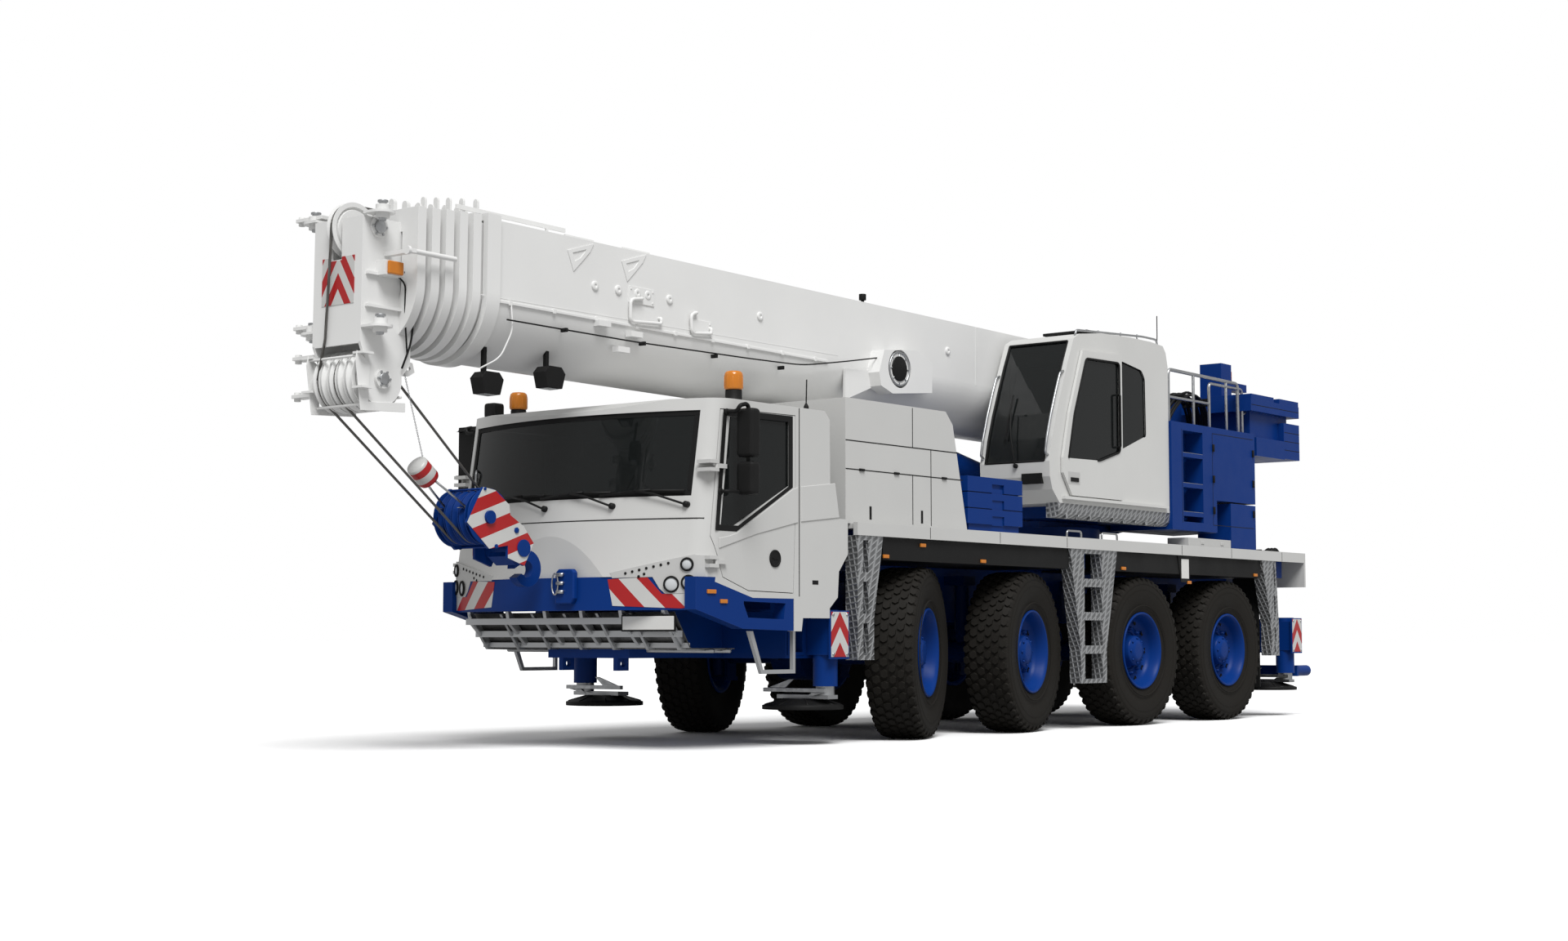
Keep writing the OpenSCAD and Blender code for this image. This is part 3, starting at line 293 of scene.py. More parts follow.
def wire_rope(name):
    """Laid steel wire with a film of grease."""
    mat, nodes, links, shader = new_material(name)
    coords = nodes.new("ShaderNodeTexCoord")
    lay = nodes.new("ShaderNodeTexWave")
    lay.inputs["Scale"].default_value = 60.0
    lay.inputs["Distortion"].default_value = 0.5
    links.new(coords.outputs["Object"], lay.inputs["Vector"])
    links.new(two_tone(nodes, links, lay.outputs["Fac"], (0.06, 0.055, 0.05), (0.20, 0.195, 0.185)), shader.inputs["Base Color"])
    links.new(bump(nodes, links, lay.outputs["Fac"], 0.6, 0.002), shader.inputs["Normal"])
    shader.inputs["Roughness"].default_value = 0.45
    shader.inputs["Metallic"].default_value = 0.7
    return mat


def parted(name, below, low, high):
    """One paint below a height and another above it: ground pads and jacks."""
    mat, nodes, links, shader = new_material(name)
    coords = nodes.new("ShaderNodeTexCoord")
    split = nodes.new("ShaderNodeSeparateXYZ")
    links.new(coords.outputs["Object"], split.inputs["Vector"])
    over = nodes.new("ShaderNodeMath")
    over.operation = "GREATER_THAN"
    links.new(split.outputs["Z"], over.inputs[0])
    over.inputs[1].default_value = below
    base = two_tone(nodes, links, over.outputs["Value"], low, high)
    drift = noise(nodes, links, coords, 7.0, 5)
    shade = nodes.new("ShaderNodeMix")
    shade.data_type = "RGBA"
    shade.blend_type = "MULTIPLY"
    shade.inputs["Factor"].default_value = 1.0
    links.new(base, shade.inputs["A"])
    links.new(two_tone(nodes, links, drift.outputs["Fac"], (0.75, 0.75, 0.75), (1, 1, 1)), shade.inputs["B"])
    links.new(shade.outputs["Result"], shader.inputs["Base Color"])
    links.new(spread(nodes, links, drift.outputs["Fac"], 0.3, 0.5), shader.inputs["Roughness"])
    links.new(over.outputs["Value"], shader.inputs["Metallic"])
    return mat


WHITE = paint("white_paint", (0.56, 0.56, 0.548))
# The operator cab's and the boom's whites are lighter copies of the one white paint: painted light for the stronger
# light falling on them.
CAB_WHITE_PAINTED_LIGHT = paint("operator_cab_paint_painted_light", (0.62, 0.62, 0.605))
BOOM_WHITE_PAINTED_LIGHT = paint("boom_paint_painted_light", (0.76, 0.76, 0.75))
# A darker white, used for grey-white parts and as painted shade in the operator door's handle recess.
WHITE_DARK = paint("grey_white_paint_and_recess_shade", (0.50, 0.50, 0.49), rough=0.4)
BLUE = paint("blue_paint", (0.003, 0.032, 0.185), rough=0.35, coat=0.0, shine=0.10)
DARK_BLUE = paint("axle_paint", (0.002, 0.018, 0.10), rough=0.45, coat=0.0, shine=0.10)
ZINC = metal("galvanised", (0.50, 0.51, 0.52))
CHROME = metal("reflector", (0.75, 0.76, 0.78), rough=0.12, grain=90)
MIRROR = metal("mirror_face", (0.70, 0.72, 0.74), rough=0.06, grain=4)
BLACK = rubber("black_plastic", (0.009, 0.009, 0.009), rough=0.55, grain=400)
DARK = rubber("dark_gaps", (0.006, 0.006, 0.006), rough=0.65, grain=500)
TYRE = rubber("tyre_rubber", (0.0125, 0.011, 0.009))
CAST = paint("engine_paint", (0.10, 0.10, 0.11), rough=0.6)
LAMP = paint("orange_lens", (0.58, 0.19, 0.02), rough=0.15)
RED_LENS = paint("red_lens", (0.45, 0.01, 0.01), rough=0.15)
PLATE = paint("plain_plate", (0.70, 0.70, 0.68), rough=0.3)
CLEAR = paint("clear_lens", (0.55, 0.57, 0.58), rough=0.05, coat=0.8, peel=0.03)
GLASS = tinted_glass("tinted_glass")
ROPE = wire_rope("wire_rope")
# Tread plate with painted shade between its bars.
CHEQUER = chequer("tread_plate", (0.52, 0.53, 0.54), 1.30 + MID_X)
# Dark sheet metal used only as painted shade behind the stowed ladders.
LADDER_SHADE_SHEET = metal("ladder_shade_sheet", (0.16, 0.16, 0.16), rough=0.5)
JACK = parted("jack_and_pad", 0.336, (0.012, 0.012, 0.012), (0.50, 0.51, 0.52))
STRIPES_LEFT = stripes("stripes_left", (0, 1, 1), 0.20, 0.0)
STRIPES_RIGHT = stripes("stripes_right", (0, -1, 1), 0.20, 0.0)
STRIPES_HEAD = stripes("stripes_head", (0, 1.6, 1), 0.111, -0.0074, fold=(0, 0.0075, 2.80))
STRIPES_REAR = stripes("stripes_rear", (0, 1, 1), 0.17, 0.0)
STRIPES_WEIGHT = stripes("stripes_weight", (0.777, 0, 0.63), 0.10, 0.0)
STRIPES_HOOK = stripes("stripes_hook", (-0.327, 0, -0.945), 0.178, 0.0)

SLOT_MATERIAL = {"white": WHITE, "blue": BLUE, "axle": DARK_BLUE, "zinc": ZINC, "black": BLACK,
                 "tyre": TYRE, "engine": CAST, "lamp": LAMP, "glass": GLASS}
# The operator cab and the boom sections take the lighter white copies, as painted light.
NODE_MATERIAL = {"ladders": CHEQUER, "op_cab": CAB_WHITE_PAINTED_LIGHT, "op_door": CAB_WHITE_PAINTED_LIGHT, "jack_fl": JACK, "jack_fr": JACK, "jack_rl": JACK, "jack_rr": JACK}
NODE_MATERIAL.update({name: BOOM_WHITE_PAINTED_LIGHT for name in ("boom_base", "boom_1", "boom_2", "boom_3", "boom_4", "boom_5")})
for part in frame["record"]["subparts"]:
    node = frame["nodes"][part["node"]]
    node.data.materials.clear()
    node.data.materials.append(NODE_MATERIAL.get(part["node"], SLOT_MATERIAL[part["material_slot"]]))


# Mesh helpers

def at(x, y, z):
    """A point whose X is given from the first axle."""
    return Vector((x + MID_X, y, z))


def add_box(bm, low, high, mat=0):
    """A box between two corners, in the frame."""
    made = bmesh.ops.create_cube(bm, size=1)["verts"]
    for v in made:
        v.co = Vector([low[i] + (high[i] - low[i]) * (v.co[i] + 0.5) for i in range(3)])
    for f in {f for v in made for f in v.link_faces}:
        f.material_index = mat
    return made


def add_prism(bm, outline, axis, low, high, mat=0):
    """A prism: outline in the two other axes, run along axis from low to high."""
    rows = []
    for level in (low, high):
        row = []
        for a, b in outline:
            co = {0: (level, a, b), 1: (a, level, b), 2: (a, b, level)}[axis]
            row.append(bm.verts.new(co))
        rows.append(row)
    n = len(outline)
    faces = [bm.faces.new(rows[0]), bm.faces.new(rows[1])]
    for i in range(n):
        faces.append(bm.faces.new((rows[0][i], rows[0][(i + 1) % n], rows[1][(i + 1) % n], rows[1][i])))
    for f in faces:
        f.material_index = mat
    return rows[0] + rows[1]


def add_tube(bm, points, radius, sides=10, mat=0, closed=False):
    """A round tube along points, with its ends capped."""
    points = [Vector(p) for p in points]
    count = len(points)
    rings = []
    normal = None
    for i, p in enumerate(points):
        before = points[i - 1] if (i or closed) else p
        after = points[(i + 1) % count] if (i < count - 1 or closed) else p
        along = (after - before).normalized()
        if normal is None:
            normal = along.orthogonal().normalized()
        normal = (normal - along * normal.dot(along)).normalized()
        other = along.cross(normal)
        turn = [math.tau * k / sides for k in range(sides)]
        rings.append([bm.verts.new(p + radius * (math.cos(t) * normal + math.sin(t) * other)) for t in turn])
    spans = count if closed else count - 1
    faces = []
    for i in range(spans):
        a, b = rings[i], rings[(i + 1) % count]
        for k in range(sides):
            faces.append(bm.faces.new((a[k], a[(k + 1) % sides], b[(k + 1) % sides], b[k])))
    if not closed:
        faces += [bm.faces.new(list(reversed(rings[0]))), bm.faces.new(rings[-1])]
    for f in faces:
        f.material_index = mat
        f.smooth = True
    return [v for ring in rings for v in ring]


def add_lathe(bm, profile, centre, axis, sides=48, mat=0):
    """A profile of (radius, distance along axis) turned about axis through centre."""
    axis = Vector(axis).normalized()
    u = axis.orthogonal().normalized()
    w = axis.cross(u)
    centre = Vector(centre)
    rings = []
    for r, d in profile:
        if r < 1e-6:
            rings.append([bm.verts.new(centre + axis * d)])
            continue
        rings.append([bm.verts.new(centre + axis * d + r * (math.cos(t) * u + math.sin(t) * w))
                      for t in [math.tau * k / sides for k in range(sides)]])
    for a, b in zip(rings, rings[1:]):
        for k in range(sides):
            n = (k + 1) % sides
            if len(a) == 1 and len(b) == 1:
                continue
            if len(a) == 1:
                f = bm.faces.new((a[0], b[n], b[k]))
            elif len(b) == 1:
                f = bm.faces.new((a[k], a[n], b[0]))
            else:
                f = bm.faces.new((a[k], a[n], b[n], b[k]))
            f.material_index = mat
            f.smooth = True


def arc(centre, radius, start, end, steps=8):
    """Points of an arc in a plane, angles in degrees."""
    turn = [math.radians(start + (end - start) * i / steps) for i in range(steps + 1)]
    return [(centre[0] + radius * math.cos(t), centre[1] + radius * math.sin(t)) for t in turn]


def bent(points, radius, steps=5):
    """Points with each corner rounded by an arc of about the given radius."""
    points = [Vector(p) for p in points]
    out = [points[0]]
    for a, b, c in zip(points, points[1:], points[2:]):
        cut = min(radius, (a - b).length / 2.05, (c - b).length / 2.05)
        start, end = b + (a - b).normalized() * cut, b + (c - b).normalized() * cut
        for i in range(steps + 1):
            t = i / steps
            out.append(start * (1 - t) ** 2 + b * 2 * t * (1 - t) + end * t ** 2)
    out.append(points[-1])
    return out


def piece(name, bm, materials, body, bevel=0.0, moved=None):
    """An object from a bmesh, riding on a body, or on none where it spans two."""
    if moved is not None:
        bmesh.ops.transform(bm, matrix=moved, verts=bm.verts)
    bmesh.ops.recalc_face_normals(bm, faces=bm.faces)
    mesh = bpy.data.meshes.new(name)
    bm.to_mesh(mesh)
    bm.free()
    obj = bpy.data.objects.new(name, mesh)
    bpy.context.scene.collection.objects.link(obj)
    for mat in materials if isinstance(materials, (list, tuple)) else [materials]:
        mesh.materials.append(mat)
    if bevel:
        edge = obj.modifiers.new("edges", "BEVEL")
        edge.width = bevel
        edge.segments = 2
        edge.limit_method = "ANGLE"
        edge.angle_limit = math.radians(40)
        edge.harden_normals = False
    if body:
        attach(obj, body)
    return obj


# The boom's own direction: it rises a little from its pivot
BOOM_RISE = 0.6
PIVOT = at(-5.150, 0, 2.990)
ON_BOOM = (Matrix.Translation(PIVOT) @ Matrix.Rotation(math.radians(-BOOM_RISE), 4, "Y")
           @ Matrix.Translation(-PIVOT))


# Wheels: treaded tyres on detailed rims

TYRE_R = 0.670
TYRE_W = 0.385
WHEEL_Y = 1.025
KINGPIN_Y = 0.880
# Axles: place from the first, rest steering angle of the left and the right wheel
AXLES = [(0.0, 22.0, 21.0), (-1.560, 11.0, 9.2), (-3.470, 0.0, 0.0), (-5.150, 0.0, 0.0)]
TREAD_DEPTH = 0.017
TREAD_PITCHES = 46


def add_tread(bm):
    """Staggered six-sided blocks over the crown and shoulders, about +Y."""
    crown = TYRE_R - TREAD_DEPTH
    step = math.tau / TREAD_PITCHES
    # Rows: middle along Y, half width, half length round the tyre, share of a pitch it is shifted by
    rows = [(-0.158, 0.026, 0.034, 0.25), (-0.097, 0.029, 0.036, 0.75), (-0.033, 0.028, 0.036, 0.25),
            (0.033, 0.028, 0.036, 0.75), (0.097, 0.029, 0.036, 0.25), (0.158, 0.026, 0.034, 0.75)]
    for y, half_w, half_l, shift in rows:
        skew = 0.010 if y > 0 else -0.010
        for k in range(TREAD_PITCHES):
            turn = step * (k + shift)
            ring = [(-half_l * 0.55, -half_w), (half_l * 0.55, -half_w + skew * 0.4), (half_l, 0.0),
                    (half_l * 0.55, half_w), (-half_l * 0.55, half_w - skew * 0.4), (-half_l, 0.0)]
            rows_made = []
            for r, shrink in ((crown - 0.006, 1.0), (TYRE_R - 0.002, 0.92)):
                drop = 0.014 if abs(y) > 0.12 else 0.0
                made = []
                for along, across in ring:
                    t = turn + along * shrink / TYRE_R
                    yy = y + across * shrink
                    rr = r - (drop * max(0.0, (abs(yy) - 0.125)) / 0.06)
                    made.append(bm.verts.new((rr * math.cos(t), yy, rr * math.sin(t))))
                rows_made.append(made)
            low, high = rows_made
            bm.faces.new(high)
            for i in range(6):
                bm.faces.new((low[i], low[(i + 1) % 6], high[(i + 1) % 6], high[i]))


def tyre_profile(side):
    """Half of the tyre's outline from the crown to the bead, as (radius, y)."""
    crown = TYRE_R - TREAD_DEPTH
    half = TYRE_W / 2
    flank = [(crown, 0.0), (crown, 0.12), (crown - 0.006, 0.150), (crown - 0.022, half - 0.012), (0.615, half - 0.004),
             (0.575, half), (0.520, half - 0.001), (0.470, half - 0.008), (0.420, half - 0.020), (0.372, half - 0.028),
             (0.345, 0.160), (0.322, 0.142)]
    return [(r, side * y) for r, y in flank]


def wheel_mesh(side):
    """Tyre (material 0) and rim (1), nuts (2), dark discs for the holes (3) as painted shade, its outer side towards +Y
    or -Y.
    """
    bm = bmesh.new()
    axis = (0, 1, 0)
    for s in (1, -1):
        add_lathe(bm, tyre_profile(s), (0, 0, 0), axis, 96)
    # Moulded rings on the flank
    for r in (0.600, 0.548, 0.405):
        add_lathe(bm, [(r + 0.006, side * 0.187), (r, side * 0.1945), (r - 0.006, side * 0.187)], (0, 0, 0), axis, 96)
    # Shoulder lugs
    step = math.tau / TREAD_PITCHES
    for s in (1, -1):
        for k in range(TREAD_PITCHES):
            t = step * (k + (0.25 if s < 0 else 0.75))
            half = 0.026 / TYRE_R
            ring = []
            for r, y, grow in ((0.652, 0.150, 1.0), (0.640, 0.184, 1.0), (0.606, 0.1905, 0.75), (0.600, 0.186, 0.7)):
                ring.append([bm.verts.new((r * math.cos(t + e * half * grow), s * y, r * math.sin(t + e * half * grow)))
                             for e in (-1, 1)])
            for a, b in zip(ring, ring[1:]):
                bm.faces.new((a[0], a[1], b[1], b[0]))
    add_tread(bm)
    for f in bm.faces:
        f.material_index = 0
    # Rim: flange, well, dished disc and hub
    disc = [(0.345, 0.161), (0.347, 0.172), (0.338, 0.179), (0.326, 0.172), (0.316, 0.150), (0.306, 0.128),
            (0.298, 0.090), (0.288, 0.060), (0.270, 0.044), (0.248, 0.030), (0.226, 0.020), (0.165, 0.014),
            (0.158, 0.022), (0.146, 0.024), (0.140, 0.040), (0.134, 0.096), (0.126, 0.110), (0.100, 0.118),
            (0.094, 0.130), (0.060, 0.134), (0.0, 0.135)]
    add_lathe(bm, [(r, side * y) for r, y in disc], (0, 0, 0), axis, 72, 1)
    back = [(0.344, -0.161), (0.344, -0.174), (0.312, -0.170), (0.296, -0.120), (0.290, -0.02), (0.10, -0.02), (0.0, -0.02)]
    add_lathe(bm, [(r, side * y) for r, y in back], (0, 0, 0), axis, 48, 1)
    add_lathe(bm, [(0.230, side * 0.022), (0.222, side * 0.034), (0.176, side * 0.034), (0.168, side * 0.018)],
              (0, 0, 0), axis, 72, 1)
    for k in range(10):
        t = math.tau * (k + 0.5) / 10
        c = (0.199 * math.cos(t), 0, 0.199 * math.sin(t))
        nut = [(0.019, side * 0.030), (0.019, side * 0.054), (0.013, side * 0.058), (0.013, side * 0.070), (0.0, side * 0.071)]
        add_lathe(bm, nut, c, axis, 6, 2)
        # Dark discs on the disc's face stand for its holes: painted shade in place of openings.
        t = math.tau * k / 10
        hole = [(0.022, side * 0.0505), (0.018, side * 0.047), (0.0, side * 0.047)]
        add_lathe(bm, hole, (0.262 * math.cos(t), 0, 0.262 * math.sin(t)), axis, 12, 3)
    for k in range(8):
        t = math.tau * k / 8
        add_lathe(bm, [(0.010, side * 0.116), (0.010, side * 0.126), (0.0, side * 0.127)],
                  (0.112 * math.cos(t), 0, 0.112 * math.sin(t)), axis, 6, 2)
    # Valve stem
    t = math.radians(40)
    add_tube(bm, [(0.285 * math.cos(t), side * 0.07, 0.285 * math.sin(t)),
                  (0.272 * math.cos(t), side * 0.115, 0.272 * math.sin(t))], 0.006, 8, 2)
    return bm


def make_wheels():
    """Eight wheels in place of the plain solids."""
    for i, (x, left, right) in enumerate(AXLES):
        for mark, side, angle in (("l", 1, left), ("r", -1, right)):
            name = f"wheel_{i + 1}{mark}"
            turn = Matrix.Rotation(math.radians(angle), 4, "Z")
            place = (Matrix.Translation(at(x, side * KINGPIN_Y, TYRE_R)) @ turn
                     @ Matrix.Translation((0, side * (WHEEL_Y - KINGPIN_Y), 0)))
            obj = piece("dressed_" + name, wheel_mesh(side), [TYRE, BLUE, BLUE, DARK], name, moved=place)
            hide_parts(name)


# Curved front of the driver's cab and bumper, as in the frame

CAB_HALF = 1.250
BOW_R = 3.000
CORNER_R = 0.200
CAB_FRONT = 2.905
CAB_LEAN = 9.0
LEAN_Z = 1.500
BUMPER_FRONT = 2.945


def bow_x(y, inset=0.0):
    """How far the bowed front lies behind its foremost line at y."""
    reach = BOW_R - CORNER_R
    corner_y = CAB_HALF - CORNER_R
    corner_x = math.sqrt(reach ** 2 - corner_y ** 2) - BOW_R
    r = CORNER_R - inset
    y = min(abs(y), CAB_HALF - inset - 0.0005)
    if y <= corner_y * (1 + r / reach):
        return math.sqrt((BOW_R - inset) ** 2 - y ** 2) - BOW_R
    return corner_x + math.sqrt(max(0.0, r ** 2 - (y - corner_y) ** 2))


def cab_front(y, z, inset=0.0):
    """X of the cab's leaning front."""
    lean = math.tan(math.radians(CAB_LEAN))
    return CAB_FRONT + bow_x(y, inset) - (z - LEAN_Z) * lean


def bumper_front(y, z, inset=0.0):
    """X of the bumper's upright front."""
    return BUMPER_FRONT + bow_x(y, inset)


def wrap(bm, outline, surface, out=0.003, thick=0.004, mat=0, step=0.04):
    """A thin panel with the given outline in (y, z), bent over a surface x(y, z)."""
    first = set(bm.verts)
    face = bm.faces.new([bm.verts.new((0, y, z)) for y, z in outline])
    own = [face]
    low, high = min(y for y, z in outline), max(y for y, z in outline)
    y = math.floor(low / step) * step
    while y < high:
        geom = [g for g in list({v for f in own for v in f.verts}) + list({e for f in own for e in f.edges}) + own]
        cut = bmesh.ops.bisect_plane(bm, geom=geom, plane_co=(0, y, 0), plane_no=(0, 1, 0))
        own = [f for f in bm.faces if f.is_valid and not any(v in first for v in f.verts)]
        y += step
    grown = bmesh.ops.extrude_face_region(bm, geom=own)["geom"]
    back = {g for g in grown if isinstance(g, bmesh.types.BMVert)}
    for v in bm.verts:
        if v in first:
            continue
        depth = out - (thick if v in back else 0.0)
        v.co.x = surface(v.co.y, v.co.z) + depth + MID_X
    for f in bm.faces:
        if not any(v in first for v in f.verts):
            f.material_index = mat


def make_bumper_trim():
    """Red and white corner panels, headlamp panels, blank plate and lamps at the front."""
    for side, mark in ((1, "left"), (-1, "right")):
        def mirror(points):
            return [(side * y, z) for y, z in points]
        bm = bmesh.new()
        wrap(bm, mirror([(0.60, 1.005), (0.56, 1.188), (0.86, 1.200), (0.965, 1.085), (1.14, 1.085), (1.165, 1.19),
                         (1.235, 1.19), (1.235, 1.000), (1.10, 0.985)]), bumper_front, 0.003)
        piece(f"bumper_stripes_{mark}", bm, STRIPES_LEFT if side > 0 else STRIPES_RIGHT, "carrier")
        bm = bmesh.new()
        wrap(bm, mirror([(0.60, 1.195), (0.575, 1.235), (1.18, 1.355), (1.225, 1.350), (1.232, 1.12), (1.19, 1.085),
                         (0.99, 1.085), (0.95, 1.12), (0.90, 1.200)]), bumper_front, 0.006, 0.030)
        piece(f"headlamp_panel_{mark}", bm, WHITE_DARK, "carrier", 0.004)
        bm = bmesh.new()
        lamps = [(1.140, 1.285, 0.036), (1.035, 1.150, 0.046), (1.150, 1.160, 0.043)]
        for y, z, r in lamps:
            x = bumper_front(y, z) + 0.006
            ring = [(r + 0.012, 0.0), (r + 0.010, 0.010), (r, 0.012), (r - 0.003, 0.002)]
            add_lathe(bm, ring, at(x, side * y, z), (1, side * 0.5, 0), 32, 0)
            add_lathe(bm, [(r - 0.003, -0.010), (r * 0.5, -0.022), (0.0, -0.026)], at(x, side * y, z),
                      (1, side * 0.5, 0), 32, 1)
            add_lathe(bm, [(r - 0.002, 0.003), (r * 0.6, 0.009), (0.0, 0.011)], at(x, side * y, z),
                      (1, side * 0.5, 0), 32, 2)
        for k in range(7):
            y, z = 0.70 + k * 0.052, 1.228 + k * 0.011
            add_lathe(bm, [(0.010, 0.007), (0.009, 0.010), (0.0, 0.009)], at(bumper_front(y, z), side * y, z),
                      (1, side * 0.4, 0), 16, 3)
        for y, z in ((0.80, 1.205), (0.84, 1.222)):
            add_lathe(bm, [(0.010, 0.007), (0.009, 0.010), (0.0, 0.009)], at(bumper_front(y, z), side * y, z),
                      (1, side * 0.4, 0), 16, 3)
        piece(f"headlamps_{mark}", bm, [DARK, CHROME, CLEAR, DARK], "carrier")
        bm = bmesh.new()
        for x, z, half in ((2.60, 1.10, 0.045), (2.47, 1.035, 0.036)):
            add_box(bm, at(x - half, side * 1.243, z - 0.014), at(x + half, side * 1.262, z + 0.014))
        piece(f"side_markers_{mark}", bm, LAMP, "carrier", 0.004)
    bm = bmesh.new()
    add_box(bm, at(2.772, 0.585, 0.828), at(2.780, 1.085, 0.945), 0)
    add_box(bm, at(2.779, 0.598, 0.840), at(2.783, 1.072, 0.933), 1)
    piece("blank_plate", bm, [DARK, PLATE], "carrier", 0.002)
    # Ribs of the ladders stowed below the bumper, with dark sheets behind them as painted shade in the space under the
    # bumper
    bm = bmesh.new()
    add_prism(bm, [(2.690 + MID_X, 0.965), (2.700 + MID_X, 0.965), (2.525 + MID_X, 0.705), (2.515 + MID_X, 0.705)], 1, -1.0, 1.0, 0)
    add_box(bm, at(2.05, -1.0, 0.705), at(2.520, 1.0, 0.712), 0)
    for y in (-0.95, -0.62, -0.30, 0.02, 0.34, 0.66, 0.95):
        rib = [(2.775, 0.955), (2.590, 0.700), (2.060, 0.690), (2.060, 0.705), (2.575, 0.716), (2.745, 0.955)]
        add_prism(bm, [(x + MID_X, z) for x, z in rib], 1, y - 0.012, y + 0.012, 1)
    for x, z in ((2.30, 0.695), (2.12, 0.695)):
        add_tube(bm, [at(x, -1.02, z), at(x, 1.02, z)], 0.016, 10, 1)
    piece("stowed_ladder_ribs_and_shade_sheets", bm, [LADDER_SHADE_SHEET, ZINC], "carrier")
    # Line where the front panel meets the screen's frame
    bm = bmesh.new()
    wrap(bm, [(-1.20, 1.600), (1.20, 1.600), (1.20, 1.607), (-1.20, 1.607)], cab_front, 0.0015, 0.004)
    piece("front_panel_line", bm, DARK, "carrier")
    # Tie-back lug with its shackle on the bumper
    bm = bmesh.new()
    add_prism(bm, [(0.13, 1.02), (0.13, 1.24), (0.16, 1.265), (0.29, 1.265), (0.31, 1.24), (0.31, 1.06), (0.28, 1.02)], 0,
              MID_X + 2.93, MID_X + 2.975)
    piece("tie_back_plate", bm, BLUE, "carrier", 0.01)
    bm = bmesh.new()
    loop = [at(2.985, 0.14 + 0.03 * math.cos(t), 1.16 + 0.075 * math.sin(t)) for t in [math.tau * i / 20 for i in range(20)]]
    add_tube(bm, loop, 0.006, 8, closed=True)
    for z in (1.225, 1.165, 1.105):
        add_lathe(bm, [(0.0, -0.03), (0.013, -0.03), (0.013, 0.03), (0.0, 0.03)], at(2.985, 0.19, z), (0, 1, 0), 16)
    piece("tie_back_shackle", bm, ZINC, "carrier")


def make_windscreen_trim():
    """Black border round the screen, three wipers and grab handle."""
    bm = bmesh.new()
    edge = 1.115
    for outline in ([(-edge, 1.755), (edge, 1.755), (edge, 1.80), (-edge, 1.80)],
                    [(-edge, 2.325), (edge, 2.325), (edge, 2.365), (-edge, 2.365)],
                    [(edge - 0.045, 1.79), (edge, 1.79), (edge, 2.33), (edge - 0.045, 2.33)],
                    [(-edge, 1.79), (-edge + 0.045, 1.79), (-edge + 0.045, 2.33), (-edge, 2.33)]):
        wrap(bm, outline, lambda y, z: cab_front(y, z, 0.014), 0.003, 0.002)
    piece("screen_border", bm, DARK, "carrier")
    bm = bmesh.new()
    for pivot in (-0.07, 0.54, 1.09):
        base = at(cab_front(pivot, 1.70) + 0.012, pivot, 1.70)
        mid = at(cab_front(pivot - 0.22, 1.77) + 0.035, pivot - 0.22, 1.775)
        end = at(cab_front(pivot - 0.36, 1.80) + 0.03, pivot - 0.36, 1.80)
        add_lathe(bm, [(0.0, -0.02), (0.022, -0.02), (0.022, 0.012), (0.012, 0.022), (0.0, 0.022)], base, (1, 0, 0.1), 20)
        add_tube(bm, bent([base + Vector((0.015, 0, 0)), mid, end], 0.05), 0.008, 8)
        blade = [at(cab_front(y, z) + 0.012, y, z) for y, z in
                 [(pivot - 0.66, 1.775), (pivot - 0.45, 1.792), (pivot - 0.25, 1.800), (pivot - 0.02, 1.795)]]
        add_tube(bm, blade, 0.010, 6)
        add_tube(bm, [p + Vector((0.014, 0, 0.004)) for p in blade[1:3]], 0.008, 6)
    piece("wipers", bm, BLACK, "carrier")
    bm = bmesh.new()
    add_tube(bm, bent([at(cab_front(-1.02, 1.80, .02), -1.02, 1.80), at(cab_front(-1.02, 2.0, .02) + 0.03, -1.02, 1.83),
                       at(cab_front(-1.02, 2.02, .02) + 0.03, -1.02, 2.02), at(cab_front(-1.06, 2.04, .02), -1.06, 2.04)], 0.03),
             0.010, 8)
    piece("screen_grab", bm, ZINC, "carrier")


# Cab sides

